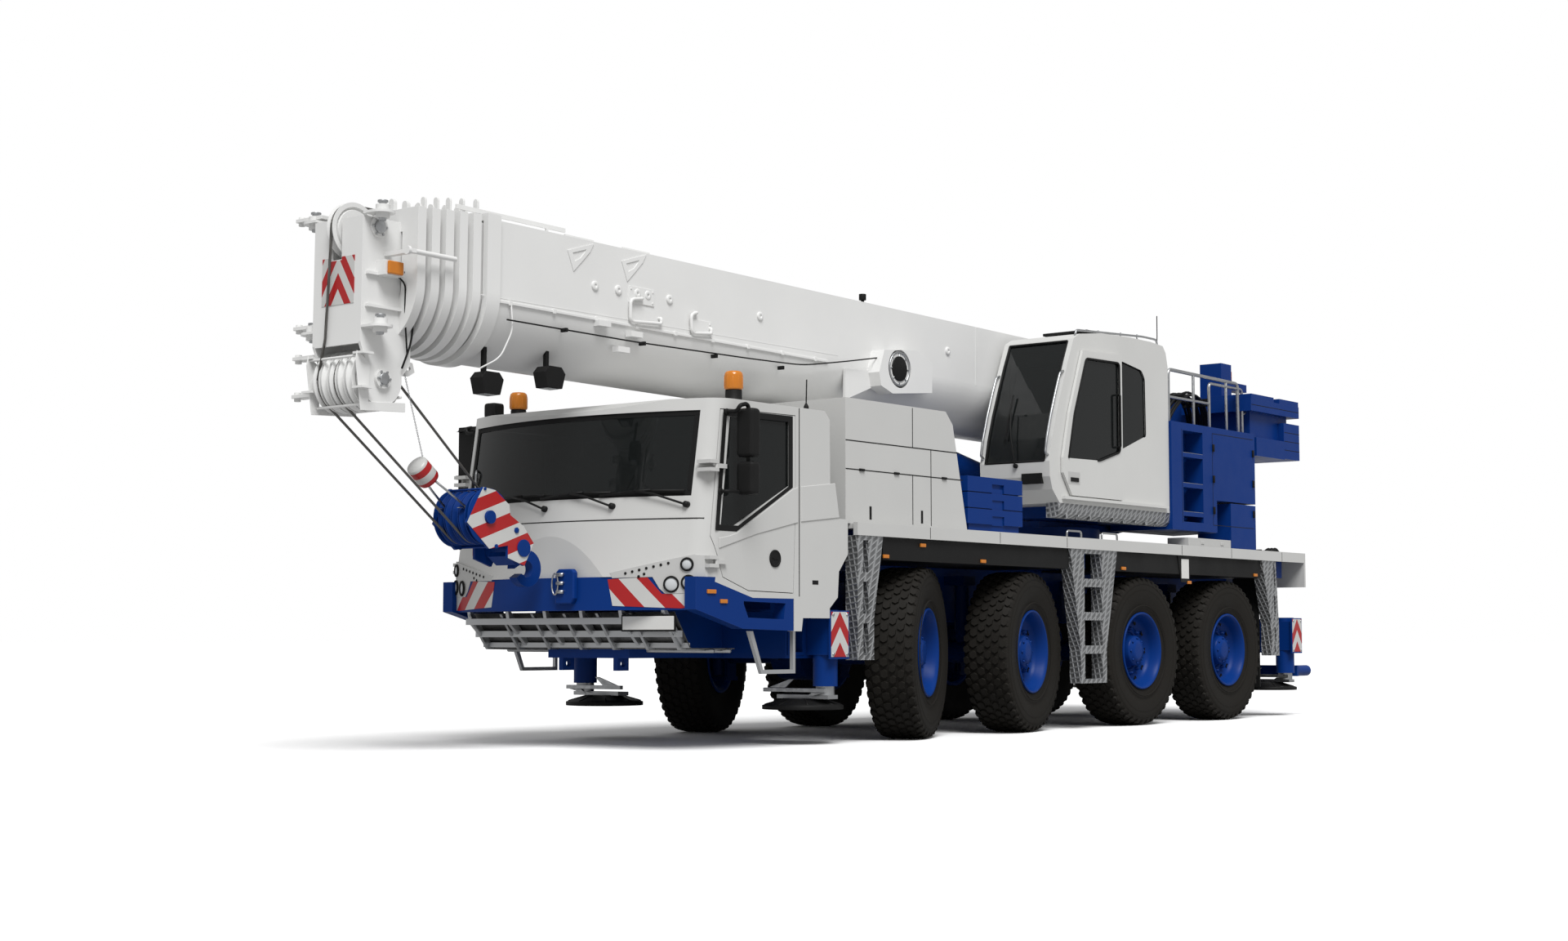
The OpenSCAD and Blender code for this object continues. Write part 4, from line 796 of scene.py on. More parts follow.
def make_mirrors():
    """Rounded mirror housings with their glasses and arms, in place of the plain blocks on the doors."""
    for side, mark in ((1, "left"), (-1, "right")):
        bm = bmesh.new()
        for low, high in ((2.030, 2.370), (1.770, 2.000)):
            made = add_box(bm, at(2.302, side * 1.300, low), at(2.402, side * 1.450, high), 0)
            shell = list({e for v in made for e in v.link_edges})
            bmesh.ops.bevel(bm, geom=shell, offset=0.035, segments=4, profile=0.6, affect="EDGES")
            add_box(bm, at(2.2995, side * 1.318, low + 0.02), at(2.3035, side * 1.432, high - 0.02), 1)
        arm = [at(2.350, side * 1.372, 1.98), at(2.350, side * 1.372, 2.385), at(2.375, side * 1.372, 2.400),
               at(2.440, side * 1.372, 2.385), at(2.440, side * 1.345, 2.346), at(2.440, side * 1.2503, 2.346)]
        add_tube(bm, bent(arm, 0.03), 0.015, 12, 0)
        low_arm = [at(2.365, side * 1.330, 1.791), at(2.470, side * 1.315, 1.791), at(2.505, side * 1.300, 1.791),
                   at(2.505, side * 1.2503, 1.791)]
        add_tube(bm, bent(low_arm, 0.03), 0.012, 12, 0)
        for x, z in ((2.440, 2.346), (2.505, 1.791)):
            add_lathe(bm, [(0.0, 0.0003), (0.024, 0.0003), (0.024, 0.008), (0.016, 0.014), (0.0, 0.014)],
                      at(x, side * 1.250, z), (0, side, 0), 20, 0)
        add_lathe(bm, [(0.062, 0.0003), (0.062, 0.008), (0.052, 0.010), (0.048, 0.006), (0.0, 0.006)],
                  at(1.905, side * 1.250, 1.345), (0, side, 0), 36, 0)
        add_box(bm, at(1.880, side * 1.256, 1.340), at(1.930, side * 1.261, 1.350), 0)
        trim = piece(f"mirrors_{mark}", bm, [BLACK, MIRROR], f"door_{mark}", 0.004)
        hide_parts(f"door_{mark}_trim")
    # Kerb mirror on its arm over the far corner of the roof
    bm = bmesh.new()
    made = add_box(bm, at(2.30, -1.20, 2.455), at(2.42, -1.08, 2.575), 0)
    shell = list({e for v in made for e in v.link_edges})
    bmesh.ops.bevel(bm, geom=shell, offset=0.03, segments=3, profile=0.6, affect="EDGES")
    add_tube(bm, bent([at(2.36, -1.14, 2.50), at(2.36, -1.14, 2.46), at(2.40, -1.10, 2.444), at(2.44, -1.05, 2.442)], 0.02), 0.012, 10, 0)
    piece("kerb_mirror", bm, BLACK, "carrier")


DOOR_SHOULDER = [(2.520, 1.470), (2.406, 1.490), (2.330, 1.512), (1.700, 1.852), (1.640, 1.866), (1.640, 1.612), (2.108, 1.512),
                 (2.405, 1.430), (2.520, 1.398)]
SIDE_SHOULDER = [(1.605, 1.874), (1.200, 1.920), (1.150, 1.668), (1.605, 1.618)]


def add_band(bm, outline, width, low, high, mat=0):
    """A flat band inside an outline in (x, z), from low to high along Y."""
    low, high = sorted((low, high))
    middle = [sum(p[i] for p in outline) / len(outline) for i in (0, 1)]
    reach = max(math.dist(p, middle) for p in outline)
    inner = [tuple(m + (c - m) * (1 - width / reach * 1.3) for c, m in zip(p, middle)) for p in outline]
    for i in range(len(outline)):
        j = (i + 1) % len(outline)
        quad = [outline[i], outline[j], inner[j], inner[i]]
        add_prism(bm, [(x + MID_X, z) for x, z in quad], 1, low, high, mat)


def make_cab_sides():
    """Door seams' shadow strips, handles and antenna, with door seals, raised shoulders and the roof hatch."""
    for side, mark in ((1, "left"), (-1, "right")):
        # Wide black band round the door's pane
        outline = [(1.700, 1.860), (2.330, 1.520), (2.555, 1.520), (2.470, 2.365), (1.700, 2.375)]
        bm = bmesh.new()
        add_band(bm, outline, 0.050, side * 1.2470, side * 1.2530)
        piece(f"door_seal_{mark}", bm, BLACK, f"door_{mark}", 0.002)
        # Raised shoulder over the door and on over the cab's side
        bm = bmesh.new()
        low, high = sorted((side * 1.2490, side * 1.2570))
        add_prism(bm, [(x + MID_X, z) for x, z in DOOR_SHOULDER], 1, low, high)
        piece(f"door_shoulder_{mark}", bm, WHITE, f"door_{mark}", 0.004)
        bm = bmesh.new()
        add_prism(bm, [(x + MID_X, z) for x, z in SIDE_SHOULDER], 1, low, high)
        piece(f"side_shoulder_{mark}", bm, WHITE, "carrier", 0.004)
        bm = bmesh.new()
        low, high = sorted((side * 1.2490, side * 1.2508))
        add_prism(bm, [(1.628 + MID_X, 2.440), (1.628 + MID_X, 1.080), (1.618 + MID_X, 1.080), (1.618 + MID_X, 2.440)], 1, low, high)
        add_box(bm, at(1.40, min(side * 1.2495, side * 1.2520), 1.170), at(1.47, max(side * 1.2495, side * 1.2520), 1.200), 0)
        piece(f"cab_side_{mark}", bm, BLACK, "carrier", 0.001)
    bm = bmesh.new()
    add_tube(bm, [at(1.451, 1.18, 2.44), at(1.451, 1.18, 2.50), at(1.445, 1.18, 2.67)], 0.005, 8)
    add_lathe(bm, [(0.0, -0.002), (0.022, -0.002), (0.018, 0.03), (0.008, 0.05), (0.0, 0.05)], at(1.451, 1.18, 2.443), (0, 0, 1), 20)
    piece("cab_antenna", bm, BLACK, "carrier")
    # Roof hatch
    bm = bmesh.new()
    add_box(bm, at(1.55, -0.40, 2.440), at(2.15, 0.40, 2.475))
    piece("roof_hatch", bm, WHITE_DARK, "carrier", 0.02)


def make_beacons():
    """Orange beacons on black feet, and the tail lamps, in place of the plain solids."""
    bm = bmesh.new()
    for side in (1, -1):
        x, y = 2.160, side * 1.080
        add_lathe(bm, [(0.0, 0.0003), (0.066, 0.0003), (0.066, 0.012), (0.060, 0.02), (0.060, 0.085), (0.054, 0.092)], at(x, y, 2.445),
                  (0, 0, 1), 36, 1)
        dome = [(0.060, 0.092), (0.068, 0.100), (0.068, 0.190), (0.063, 0.212), (0.050, 0.224), (0.020, 0.228), (0.0, 0.228)]
        add_lathe(bm, dome, at(x, y, 2.445), (0, 0, 1), 36, 0)
        for k in range(10):
            t = math.tau * k / 10
            add_tube(bm, [at(x + 0.0675 * math.cos(t), y + 0.0675 * math.sin(t), 2.550),
                          at(x + 0.0675 * math.cos(t), y + 0.0675 * math.sin(t), 2.630)], 0.003, 6, 0)
        # Tail lamp: housing, red and orange fields
        add_box(bm, at(-6.765, side * 0.80, 1.340), at(-6.7405, side * 1.18, 1.440), 1)
        for k, mat in enumerate((2, 2, 0)):
            low, high = side * (0.812 + 0.122 * k), side * (0.926 + 0.122 * k)
            add_box(bm, at(-6.779, min(low, high), 1.350), at(-6.764, max(low, high), 1.430), mat)
    obj = piece("beacons_and_tail_lamps", bm, [LAMP, BLACK, RED_LENS], "carrier", 0.003)
    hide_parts("lamps")


# Boom

def make_boom_dressing():
    """Rail, cable, bosses, covers and lights along the base section."""
    bm = bmesh.new()
    for side in (1, -1):
        add_box(bm, at(0.20, side * 0.410, 2.925), at(3.84, side * 0.432, 2.945), 0)
        for k in range(9):
            x = 0.35 + k * 0.42
            add_box(bm, at(x, side * 0.41, 2.918), at(x + 0.03, side * 0.436, 2.952), 0)
    piece("boom_side_rail", bm, BOOM_WHITE_PAINTED_LIGHT, "boom_base", 0.003, ON_BOOM)
    bm = bmesh.new()
    for side in (1, -1):
        for x in (2.90, 2.66, 2.46, 2.35, 2.11, 1.06, -1.51):
            z = 3.255 - (x + 5.15) * 0.01047
            add_lathe(bm, [(0.034, -0.002), (0.034, 0.010), (0.028, 0.014), (0.012, 0.014), (0.010, 0.008), (0.0, 0.008)],
                      at(x, side * 0.420, z), (0, side, 0), 28, 0)
        for low_x, high_x, low_z, high_z in ((2.28, 2.55, 3.18, 3.30), (1.64, 1.88, 3.05, 3.14)):
            dz = (low_x + 5.15) * 0.01047
            add_box(bm, at(low_x, side * 0.418, low_z - dz), at(high_x, side * 0.428, high_z - dz), 0)
            for x in (low_x + 0.02, high_x - 0.02):
                for z in (low_z + 0.02, high_z - 0.02):
                    add_lathe(bm, [(0.008, 0.0), (0.008, 0.006), (0.0, 0.006)], at(x, side * 0.427, z - dz), (0, side, 0), 6, 0)
    # Weld band round the section
    for y, low, high in ((0.4185, 2.96, 3.478), (-0.4215, 2.96, 3.478)):
        add_box(bm, at(-1.965, y, low), at(-1.945, y + 0.003, high), 0)
    add_box(bm, at(-1.965, -0.41, 3.4805), at(-1.945, 0.41, 3.4845), 0)
    # Guide blocks under the fixed top bar
    for x in (0.45, 1.25, -2.6, -3.8):
        add_box(bm, at(x, 0.13, 3.478), at(x + 0.14, 0.27, 3.500), 0)
    piece("boom_bosses", bm, BOOM_WHITE_PAINTED_LIGHT, "boom_base", 0.002, ON_BOOM)
    # Pierced brackets at the upper edge, pipe handles, a thin pipe and the section's long seam, where they lie at rest
    bm = bmesh.new()
    for x in (3.115, 2.565):
        corner = [(x + 0.060, 3.468), (x - 0.200, 3.550), (x - 0.165, 3.490), (x - 0.090, 3.415), (x, 3.330)]
        hole = [(x + 0.012, 3.458), (x - 0.125, 3.500), (x - 0.110, 3.475), (x - 0.068, 3.430), (x - 0.010, 3.400)]
        for i in range(5):
            j = (i + 1) % 5
            add_prism(bm, [(px + MID_X, pz) for px, pz in (corner[i], corner[j], hole[j], hole[i])], 1, 0.405, 0.427, 0)
    for points in ([(2.42, 3.22), (2.55, 3.20), (2.55, 3.04), (2.22, 3.06), (2.22, 3.10)],
                   [(1.82, 3.19), (1.89, 3.17), (1.88, 3.03), (1.66, 3.05), (1.66, 3.09)]):
        run = [at(points[0][0], 0.412, points[0][1])] + [at(x, 0.445, z) for x, z in points] + [at(points[-1][0], 0.412, points[-1][1])]
        add_tube(bm, bent(run, 0.04), 0.013, 10)
    thin = [at(3.719, 0.43, 3.028), at(3.704, 0.435, 2.851), at(3.791, 0.405, 2.653), at(3.90, 0.33, 2.58)]
    add_tube(bm, bent(thin, 0.06), 0.006, 8)
    for x, z, y_low, y_high in ((2.838, 2.99, 0.41, 0.47), (2.505, 2.95, 0.41, 0.47), (2.62, 2.83, 0.39, 0.45)):
        add_box(bm, at(x - 0.06, y_low, z - 0.02), at(x + 0.06, y_high, z + 0.02), 0)
    add_box(bm, at(0.06, 0.4185, 3.052), at(3.99, 0.4215, 3.058), 0)
    piece("boom_side_fittings", bm, BOOM_WHITE_PAINTED_LIGHT, "boom_base", 0.001)
    bm = bmesh.new()
    cable = [at(3.78, 0.455, 2.815), at(2.5, 0.452, 2.816), at(1.2, 0.452, 2.842), at(0.563, 0.455, 2.862),
             at(0.0, 0.47, 2.955), at(-0.535, 0.50, 3.052)]
    add_tube(bm, bent(cable, 0.15), 0.006, 8, 0)
    for x in (3.2, 2.4, 1.6, 0.8):
        add_box(bm, at(x, 0.405, 2.802), at(x + 0.02, 0.462, 2.830), 0)
    add_tube(bm, [at(-0.30, 0.40, 3.24), at(-0.30, 0.40, 3.53)], 0.014, 10, 0)
    add_lathe(bm, [(0.0, 0), (0.03, 0), (0.03, 0.05), (0.0, 0.05)], at(-0.30, 0.40, 3.50), (0, 0, 1), 20, 0)
    # Two work lights hung on brackets
    for x, z, y in ((3.795, 2.395, 0.30), (3.235, 2.490, 0.33)):
        six = [(x + MID_X + dx, z + dz) for dx, dz in ((-0.10, 0.03), (-0.06, 0.075), (0.06, 0.075), (0.10, 0.03), (0.07, -0.075), (-0.07, -0.075))]
        add_prism(bm, six, 1, y - 0.07, y + 0.05, 0)
        add_box(bm, at(x - 0.05, y - 0.05, z - 0.080), at(x + 0.05, y + 0.03, z - 0.074), 1)
        add_box(bm, at(x - 0.015, y - 0.06, z + 0.06), at(x + 0.015, y - 0.03, z + 0.25), 0)
    piece("boom_cable_and_lights", bm, [BLACK, CLEAR], "boom_base", 0.003, ON_BOOM)
    # Reel: cable wound between the flanges
    bm = bmesh.new()
    profile = [(0.078, 0.022)]
    for k in range(6):
        y = 0.026 + 0.014 * k
        profile += [(0.118, y), (0.124, y + 0.007), (0.118, y + 0.0135)]
    profile += [(0.078, 0.112)]
    add_lathe(bm, profile, at(-0.620, 0.420, 2.955), (0, 1, 0), 48, 0)
    for k in range(8):
        t = math.tau * k / 8
        add_tube(bm, [at(-0.620 + 0.05 * math.cos(t), 0.545, 2.955 + 0.05 * math.sin(t)),
                      at(-0.620 + 0.132 * math.cos(t), 0.545, 2.955 + 0.132 * math.sin(t))], 0.006, 6, 1)
    rim = [at(-0.620 + 0.138 * math.cos(math.tau * k / 40), 0.545, 2.955 + 0.138 * math.sin(math.tau * k / 40)) for k in range(40)]
    add_tube(bm, rim, 0.008, 8, 1, closed=True)
    add_lathe(bm, [(0.0, 0.134), (0.098, 0.134), (0.104, 0.131), (0.104, 0.120)], at(-0.620, 0.420, 2.955), (0, 1, 0), 40, 0)
    piece("cable_reel_winding", bm, [BLACK, ZINC], "boom_base", moved=ON_BOOM)


def make_collar_ears():
    """Upright rope guides on the collars of the telescopic parts."""
    for body, x, top in (("boom_4", 4.262, 3.700), ("boom_3", 4.150, 3.715), ("boom_2", 4.040, 3.730), ("boom_1", 3.920, 3.745),
                         ("boom_base", 3.790, 3.760)):
        for side in (1, -1):
            bm = bmesh.new()
            y = side * 0.155
            outline = [(y - 0.022, 3.44), (y + 0.022, 3.44), (y + 0.022, top - 0.02)] + arc((y, top - 0.02), 0.022, 0, 180, 6)[1:]
            add_prism(bm, outline, 0, x - 0.008 + MID_X, x + 0.008 + MID_X)
            piece(f"ear_{body}_{'l' if side > 0 else 'r'}", bm, BOOM_WHITE_PAINTED_LIGHT, body, 0.002)


def make_head_dressing():
    """Chevrons, orange lamp, pins, hoses and far-side arms at the boom head."""
    bm = bmesh.new()
    add_box(bm, at(4.8495, 0.040, 2.816), at(4.8535, 0.165, 3.126), 0)
    add_box(bm, at(4.8495, -0.150, 2.816), at(4.8535, -0.080, 3.126), 0)
    add_box(bm, at(4.8495, -0.080, 2.816), at(4.8535, 0.040, 3.104), 0)
    piece("head_stripes", bm, STRIPES_HEAD, "boom_5", moved=ON_BOOM)
    bm = bmesh.new()
    add_box(bm, at(4.600, 0.331, 3.005), at(4.725, 0.352, 3.090), 0)
    piece("head_lamp", bm, LAMP, "boom_5", 0.008, ON_BOOM)
    bm = bmesh.new()
    for side in (1, -1):
        for (x, z), r, y in (((4.670, 2.337), 0.062, 0.262), ((4.722, 3.317), 0.070, 0.250)):
            ring = [(r * 0.62, 0.0), (r * 0.62, 0.012), (r * 0.5, 0.016), (0.0, 0.016)]
            add_lathe(bm, ring, at(x, side * y, z), (0, side, 0), 32, 0)
            for k in range(6):
                t = math.tau * k / 6
                add_lathe(bm, [(0.009, 0), (0.009, 0.008), (0.0, 0.009)],
                          at(x + r * 0.8 * math.cos(t), side * y, z + r * 0.8 * math.sin(t)), (0, side, 0), 6, 0)
        for z in (2.651, 3.386):
            add_lathe(bm, [(0.0, -0.045), (0.0245, -0.045), (0.0245, 0.07), (0.034, 0.072), (0.034, 0.085), (0.0, 0.085)],
                      at(4.770, side * 0.330, z), (0, 0, 1), 24, 0)
    piece("head_pins", bm, ZINC, "boom_5", 0.001, ON_BOOM)
    bm = bmesh.new()
    for z in (3.43, 2.71, 2.51, 2.26):
        add_box(bm, at(4.70, -0.50, z - 0.012), at(4.80, -0.235, z + 0.012), 0)
        add_lathe(bm, [(0.0, -0.03), (0.022, -0.03), (0.022, 0.03), (0.0, 0.03)], at(4.76, -0.485, z), (0, 0, 1), 20, 0)
    # Plate edges and rope guards round the sheaves
    for x, z in ((4.862, 2.470), (4.50, 2.235), (4.565, 2.160), (4.80, 2.165)):
        add_tube(bm, [at(x, -0.236, z), at(x, 0.236, z)], 0.009, 10, 0)
    for side in (1, -1):
        add_prism(bm, [(4.77 + MID_X, 2.43), (4.88 + MID_X, 2.50), (4.89 + MID_X, 2.44), (4.84 + MID_X, 2.12), (4.47 + MID_X, 2.14),
                       (4.47 + MID_X, 2.20), (4.78 + MID_X, 2.18)], 1, side * 0.2365, side * 0.2445, 0)
    piece("head_arms", bm, BOOM_WHITE_PAINTED_LIGHT, "boom_5", 0.002, ON_BOOM)
    bm = bmesh.new()
    add_tube(bm, bent([at(4.59, 0.28, 3.05), at(4.50, 0.28, 3.04), at(4.46, 0.30, 2.9), at(4.45, 0.27, 2.60), at(4.52, 0.26, 2.42)], 0.08),
             0.007, 8, 0)
    add_tube(bm, bent([at(4.60, 0.27, 3.02), at(4.54, 0.30, 2.97), at(4.53, 0.29, 2.75), at(4.48, 0.262, 2.52)], 0.08), 0.006, 8, 0)
    piece("head_hoses", bm, BLACK, "boom_5", moved=ON_BOOM)


# Ropes between head and hook block

HEAD_PIN = (4.669, 2.440)
BLOCK_PIN = (3.655, 1.600)
HEAD_ROPE_R = 0.191
BLOCK_ROPE_R = 0.171
ROPE_R = 0.009


def rope_path(y_head, y_block, front):
    """One fall from a head sheave to a block sheave on their front or rear side, with the arcs it lies in."""
    a, b = Vector(HEAD_PIN), Vector(BLOCK_PIN)
    run = (b - a)
    u = run.normalized()
    n = Vector((-u.y, u.x)) * (1 if front else -1)
    s = (HEAD_ROPE_R - BLOCK_ROPE_R) / run.length
    m = n * math.sqrt(1 - s * s) + u * s
    start = math.atan2(m.y, m.x)
    turn = 1 if front else -1
    path = []
    for k in range(8, 0, -1):
        t = start + turn * math.radians(90) * k / 8
        path.append(at(a.x + HEAD_ROPE_R * math.cos(t), y_head, a.y + HEAD_ROPE_R * math.sin(t)))
    p, q = a + m * HEAD_ROPE_R, b + m * BLOCK_ROPE_R
    for k in range(17):
        f = k / 16
        path.append(at(p.x + (q.x - p.x) * f, y_head + (y_block - y_head) * f, p.y + (q.y - p.y) * f))
    for k in range(1, 9):
        t = start - turn * math.radians(90) * k / 8
        path.append(at(b.x + BLOCK_ROPE_R * math.cos(t), y_block, b.y + BLOCK_ROPE_R * math.sin(t)))
    return path


def make_ropes():
    """Three falls between the head and the block, the rope over the top sheave, and the one along the boom."""
    bm = bmesh.new()
    for j, front in ((0, True), (2, True), (2, False)):
        add_tube(bm, rope_path((j - (2 if front else 1)) * 0.08, (j - 1.5) * 0.068, front), ROPE_R, 10)
    falls = piece("hoist_rope", bm, ROPE, None)
    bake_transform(falls)
    bm = bmesh.new()
    top = [at(4.722 + 0.172 * math.cos(math.radians(t)), -0.02, 3.317 + 0.172 * math.sin(math.radians(t))) for t in range(95, -1, -10)]
    add_tube(bm, [at(4.40, -0.02, 3.489)] + top + [at(4.880, -0.05, 3.0), at(4.866, -0.09, 2.6), at(4.861, -0.16, 2.337)], ROPE_R, 10)
    piece("head_rope", bm, ROPE, "boom_5", moved=ON_BOOM)
    bm = bmesh.new()
    add_tube(bm, [at(4.45, -0.02, 3.489), at(3.9, -0.02, 3.505), at(1.0, -0.02, 3.525), at(-2.5, -0.02, 3.53), at(-4.6, -0.02, 3.50)],
             ROPE_R, 10)
    piece("boom_rope", bm, ROPE, "boom_base", moved=ON_BOOM)
    # Switch weight with its straps and chain
    bm = bmesh.new()
    x, z = 4.10, 1.885
    add_lathe(bm, [(0.0, -0.085), (0.070, -0.080), (0.077, -0.065), (0.077, 0.065), (0.070, 0.080), (0.0, 0.085)], at(x, 0, z), (0.777, 0, 0.63), 32, 0)
    piece("switch_weight", bm, STRIPES_WEIGHT, "hook_block")
    bm = bmesh.new()
    for y in (-0.10, 0.10):
        add_box(bm, at(3.80, y - 0.012, 1.655), at(3.87, y + 0.012, 1.660), 0)
        add_tube(bm, [at(4.075, y * 0.35, 1.86), at(3.95, y * 0.7, 1.77), at(3.80, y, 1.665)], 0.008, 6, 0)
    piece("weight_straps", bm, ZINC, "hook_block")
    bm = bmesh.new()
    a, b = at(4.45, 0.20, 2.50), at(4.10, 0.0, 1.975)
    links = 60
    for k in range(links):
        p, q = a.lerp(b, k / links), a.lerp(b, (k + 1.25) / links)
        along = (q - p).normalized()
        wide = along.orthogonal().normalized()
        if k % 2:
            wide = along.cross(wide)
        ring = [p.lerp(q, 0.5) + along * (0.5 * (q - p).length * math.cos(t)) + wide * 0.0045 * math.sin(t)
                for t in [math.tau * i / 8 for i in range(8)]]
        add_tube(bm, ring, 0.0016, 5, closed=True)
    chain = piece("switch_chain", bm, ZINC, None)
    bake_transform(chain)


HOOK_PLATE = [(3.710, 1.802), (3.601, 1.786), (3.467, 1.692), (3.458, 1.623), (3.331, 1.553), (3.231, 1.438), (3.319, 1.279),
              (3.476, 1.328), (3.477, 1.413), (3.653, 1.386), (3.857, 1.557), (3.766, 1.715)]


def make_hook_dressing():
    """Striped faces of the block, its pins and the round covers over its sheave."""
    bm = bmesh.new()
    for side in (1, -1):
        low, high = sorted((side * 0.1725, side * 0.1755))
        add_prism(bm, [(x + MID_X, z) for x, z in HOOK_PLATE], 1, low, high, 0)
    piece("hook_stripes", bm, STRIPES_HOOK, "hook_block", 0.001)
    bm = bmesh.new()
    for side in (1, -1):
        for x, z, r in ((3.590, 1.404, 0.016), (3.400, 1.520, 0.022), (3.700, 1.790, 0.012), (3.655, 1.600, 0.020)):
            add_lathe(bm, [(r, 0.0), (r, 0.008), (0.0, 0.009)], at(x, side * 0.1752, z), (0, side, 0), 6, 0)
    piece("hook_pins", bm, BLUE, "hook_block", 0.001)
    bm = bmesh.new()
    for side in (1, -1):
        add_lathe(bm, [(0.0, 0.0), (0.190, 0.0), (0.196, 0.004), (0.190, 0.008), (0.0, 0.008)], at(3.655, side * 0.1635, 1.600),
                  (0, side, 0), 48, 0)
    piece("hook_housing", bm, BLUE, "hook_block")


# Superstructure

def make_operator_cab():
    """Seals, rails, wiper, lamp and antenna of the operator's cab."""
    front = [(-1.905, 2.290), (-1.955, 2.500), (-2.030, 2.720), (-2.125, 2.950), (-2.225, 3.180), (-2.325, 3.390)]
    bm = bmesh.new()
    for y in (0.545, 1.140):
        add_tube(bm, [at(x - 0.004, y, z) for x, z in front[:-1] + [(-2.318, 3.365)]], 0.011, 8, 0)
    for x, z in ((-1.912, 2.292), (-2.318, 3.368)):
        add_tube(bm, [at(x, 0.545, z), at(x, 1.140, z)], 0.011, 8, 0)
    # Wiper over the screen
    add_lathe(bm, [(0.0, -0.01), (0.02, -0.01), (0.02, 0.02), (0.0, 0.025)], at(-1.905, 0.86, 2.26), (1, 0, 0), 16, 0)
    add_tube(bm, [at(-1.885, 0.86, 2.26), at(-1.915, 0.80, 2.52), at(-1.985, 0.76, 2.75)], 0.007, 8, 0)
    add_tube(bm, [at(-1.94, 0.73, 2.50), at(-2.01, 0.73, 2.72), at(-2.08, 0.73, 2.90)], 0.009, 6, 0)
    # Lamp low on the front
    add_box(bm, at(-1.965, 0.92, 2.10), at(-1.893, 1.12, 2.19), 0)
    # Antenna behind the roof
    add_tube(bm, [at(-3.99, 1.10, 3.46), at(-4.00, 1.10, 3.60), at(-4.00, 1.10, 3.79)], 0.005, 8, 0)
    add_lathe(bm, [(0.0, 0.0), (0.02, 0.0), (0.014, 0.05), (0.0, 0.06)], at(-3.99, 1.10, 3.44), (0, 0, 1), 16, 0)
    piece("operator_cab_seals", bm, [BLACK, CLEAR], "superstructure", 0.002)
    bm = bmesh.new()
    for y in (0.52, 1.172):
        rail = [at(x + 0.05, y, z) for x, z in [(-1.925, 2.36), (-1.955, 2.50), (-2.030, 2.720), (-2.125, 2.950), (-2.18, 3.07)]]
        add_tube(bm, bent([at(-1.925, y, 2.34)] + rail + [at(-2.185, y, 3.09)], 0.02), 0.011, 10)
    # Rail along the roof's edge
    roof = [at(-2.40, 1.165, 3.425), at(-2.42, 1.165, 3.475), at(-3.60, 1.165, 3.545), at(-3.86, 1.165, 3.545), at(-3.88, 1.165, 3.49)]
    add_tube(bm, bent(roof, 0.05), 0.010, 8)
    for x in (-2.8, -3.2, -3.5):
        add_tube(bm, [at(x, 1.165, 3.47), at(x, 1.165, 3.49 + (-2.42 - x) * 0.06)], 0.008, 8)
    piece("operator_cab_rails", bm, ZINC, "superstructure")
    # Roof hatch frame
    bm = bmesh.new()
    add_box(bm, at(-3.55, 0.62, 3.500), at(-2.75, 1.08, 3.525))
    add_box(bm, at(-3.955, 0.52, 2.02), at(-3.945, 1.17, 2.06))
    piece("operator_roof_frame", bm, BLACK, "superstructure", 0.01)
    # Door: seal round the pane, handle and grip, and a flat darker patch round the handle as painted shade in its
    # recess
    outline = [(-2.170, 2.330), (-2.270, 2.720), (-2.480, 3.225), (-3.060, 3.240), (-3.060, 2.440), (-2.700, 2.340)]
    bm = bmesh.new()
    ring = [at(x, 1.226, z) for x, z in outline]
    add_tube(bm, bent(ring + [ring[0]], 0.04)[:-1], 0.010, 8, 0)
    # Flat patch of darker white round the handle: painted shade standing in for the handle's recess.
    add_box(bm, at(-2.36, 1.2245, 2.105), at(-2.16, 1.2260, 2.215), 2)
    add_box(bm, at(-2.33, 1.2255, 2.130), at(-2.20, 1.2330, 2.165), 1)
    add_tube(bm, bent([at(-3.02, 1.222, 2.48), at(-3.02, 1.255, 2.48), at(-3.02, 1.255, 2.95), at(-3.02, 1.222, 2.95)], 0.03), 0.010, 8, 1)
    piece("operator_door_fittings", bm, [BLACK, BLACK, WHITE_DARK], "operator_door", 0.002)
    outline = [(-3.150, 2.470), (-3.150, 3.270), (-3.520, 3.220), (-3.580, 3.150), (-3.590, 2.620)]
    bm = bmesh.new()
    ring = [at(x, 1.191, z) for x, z in outline]
    add_tube(bm, bent(ring + [ring[0]], 0.03)[:-1], 0.005, 8, 0)
    add_box(bm, at(-3.95, 1.1945, 1.985), at(-3.85, 1.1955, 2.000), 0)
    piece("operator_side_seal", bm, BLACK, "superstructure", 0.002)


def make_operator_sill():
    """Sloping tread plate below the operator's cab."""
    bm = bmesh.new()
    add_prism(bm, [(1.060, 1.815), (1.150, 1.815), (1.185, 1.850), (1.195, 1.958), (1.060, 1.958)], 0, -4.04 + MID_X, -2.06 + MID_X)
    for k in range(9):
        x = -2.2 - 0.2 * k
        add_box(bm, at(x - 0.012, 1.150, 1.808), at(x + 0.012, 1.188, 1.850), 0)
    piece("operator_sill", bm, CHEQUER, "superstructure", 0.003)


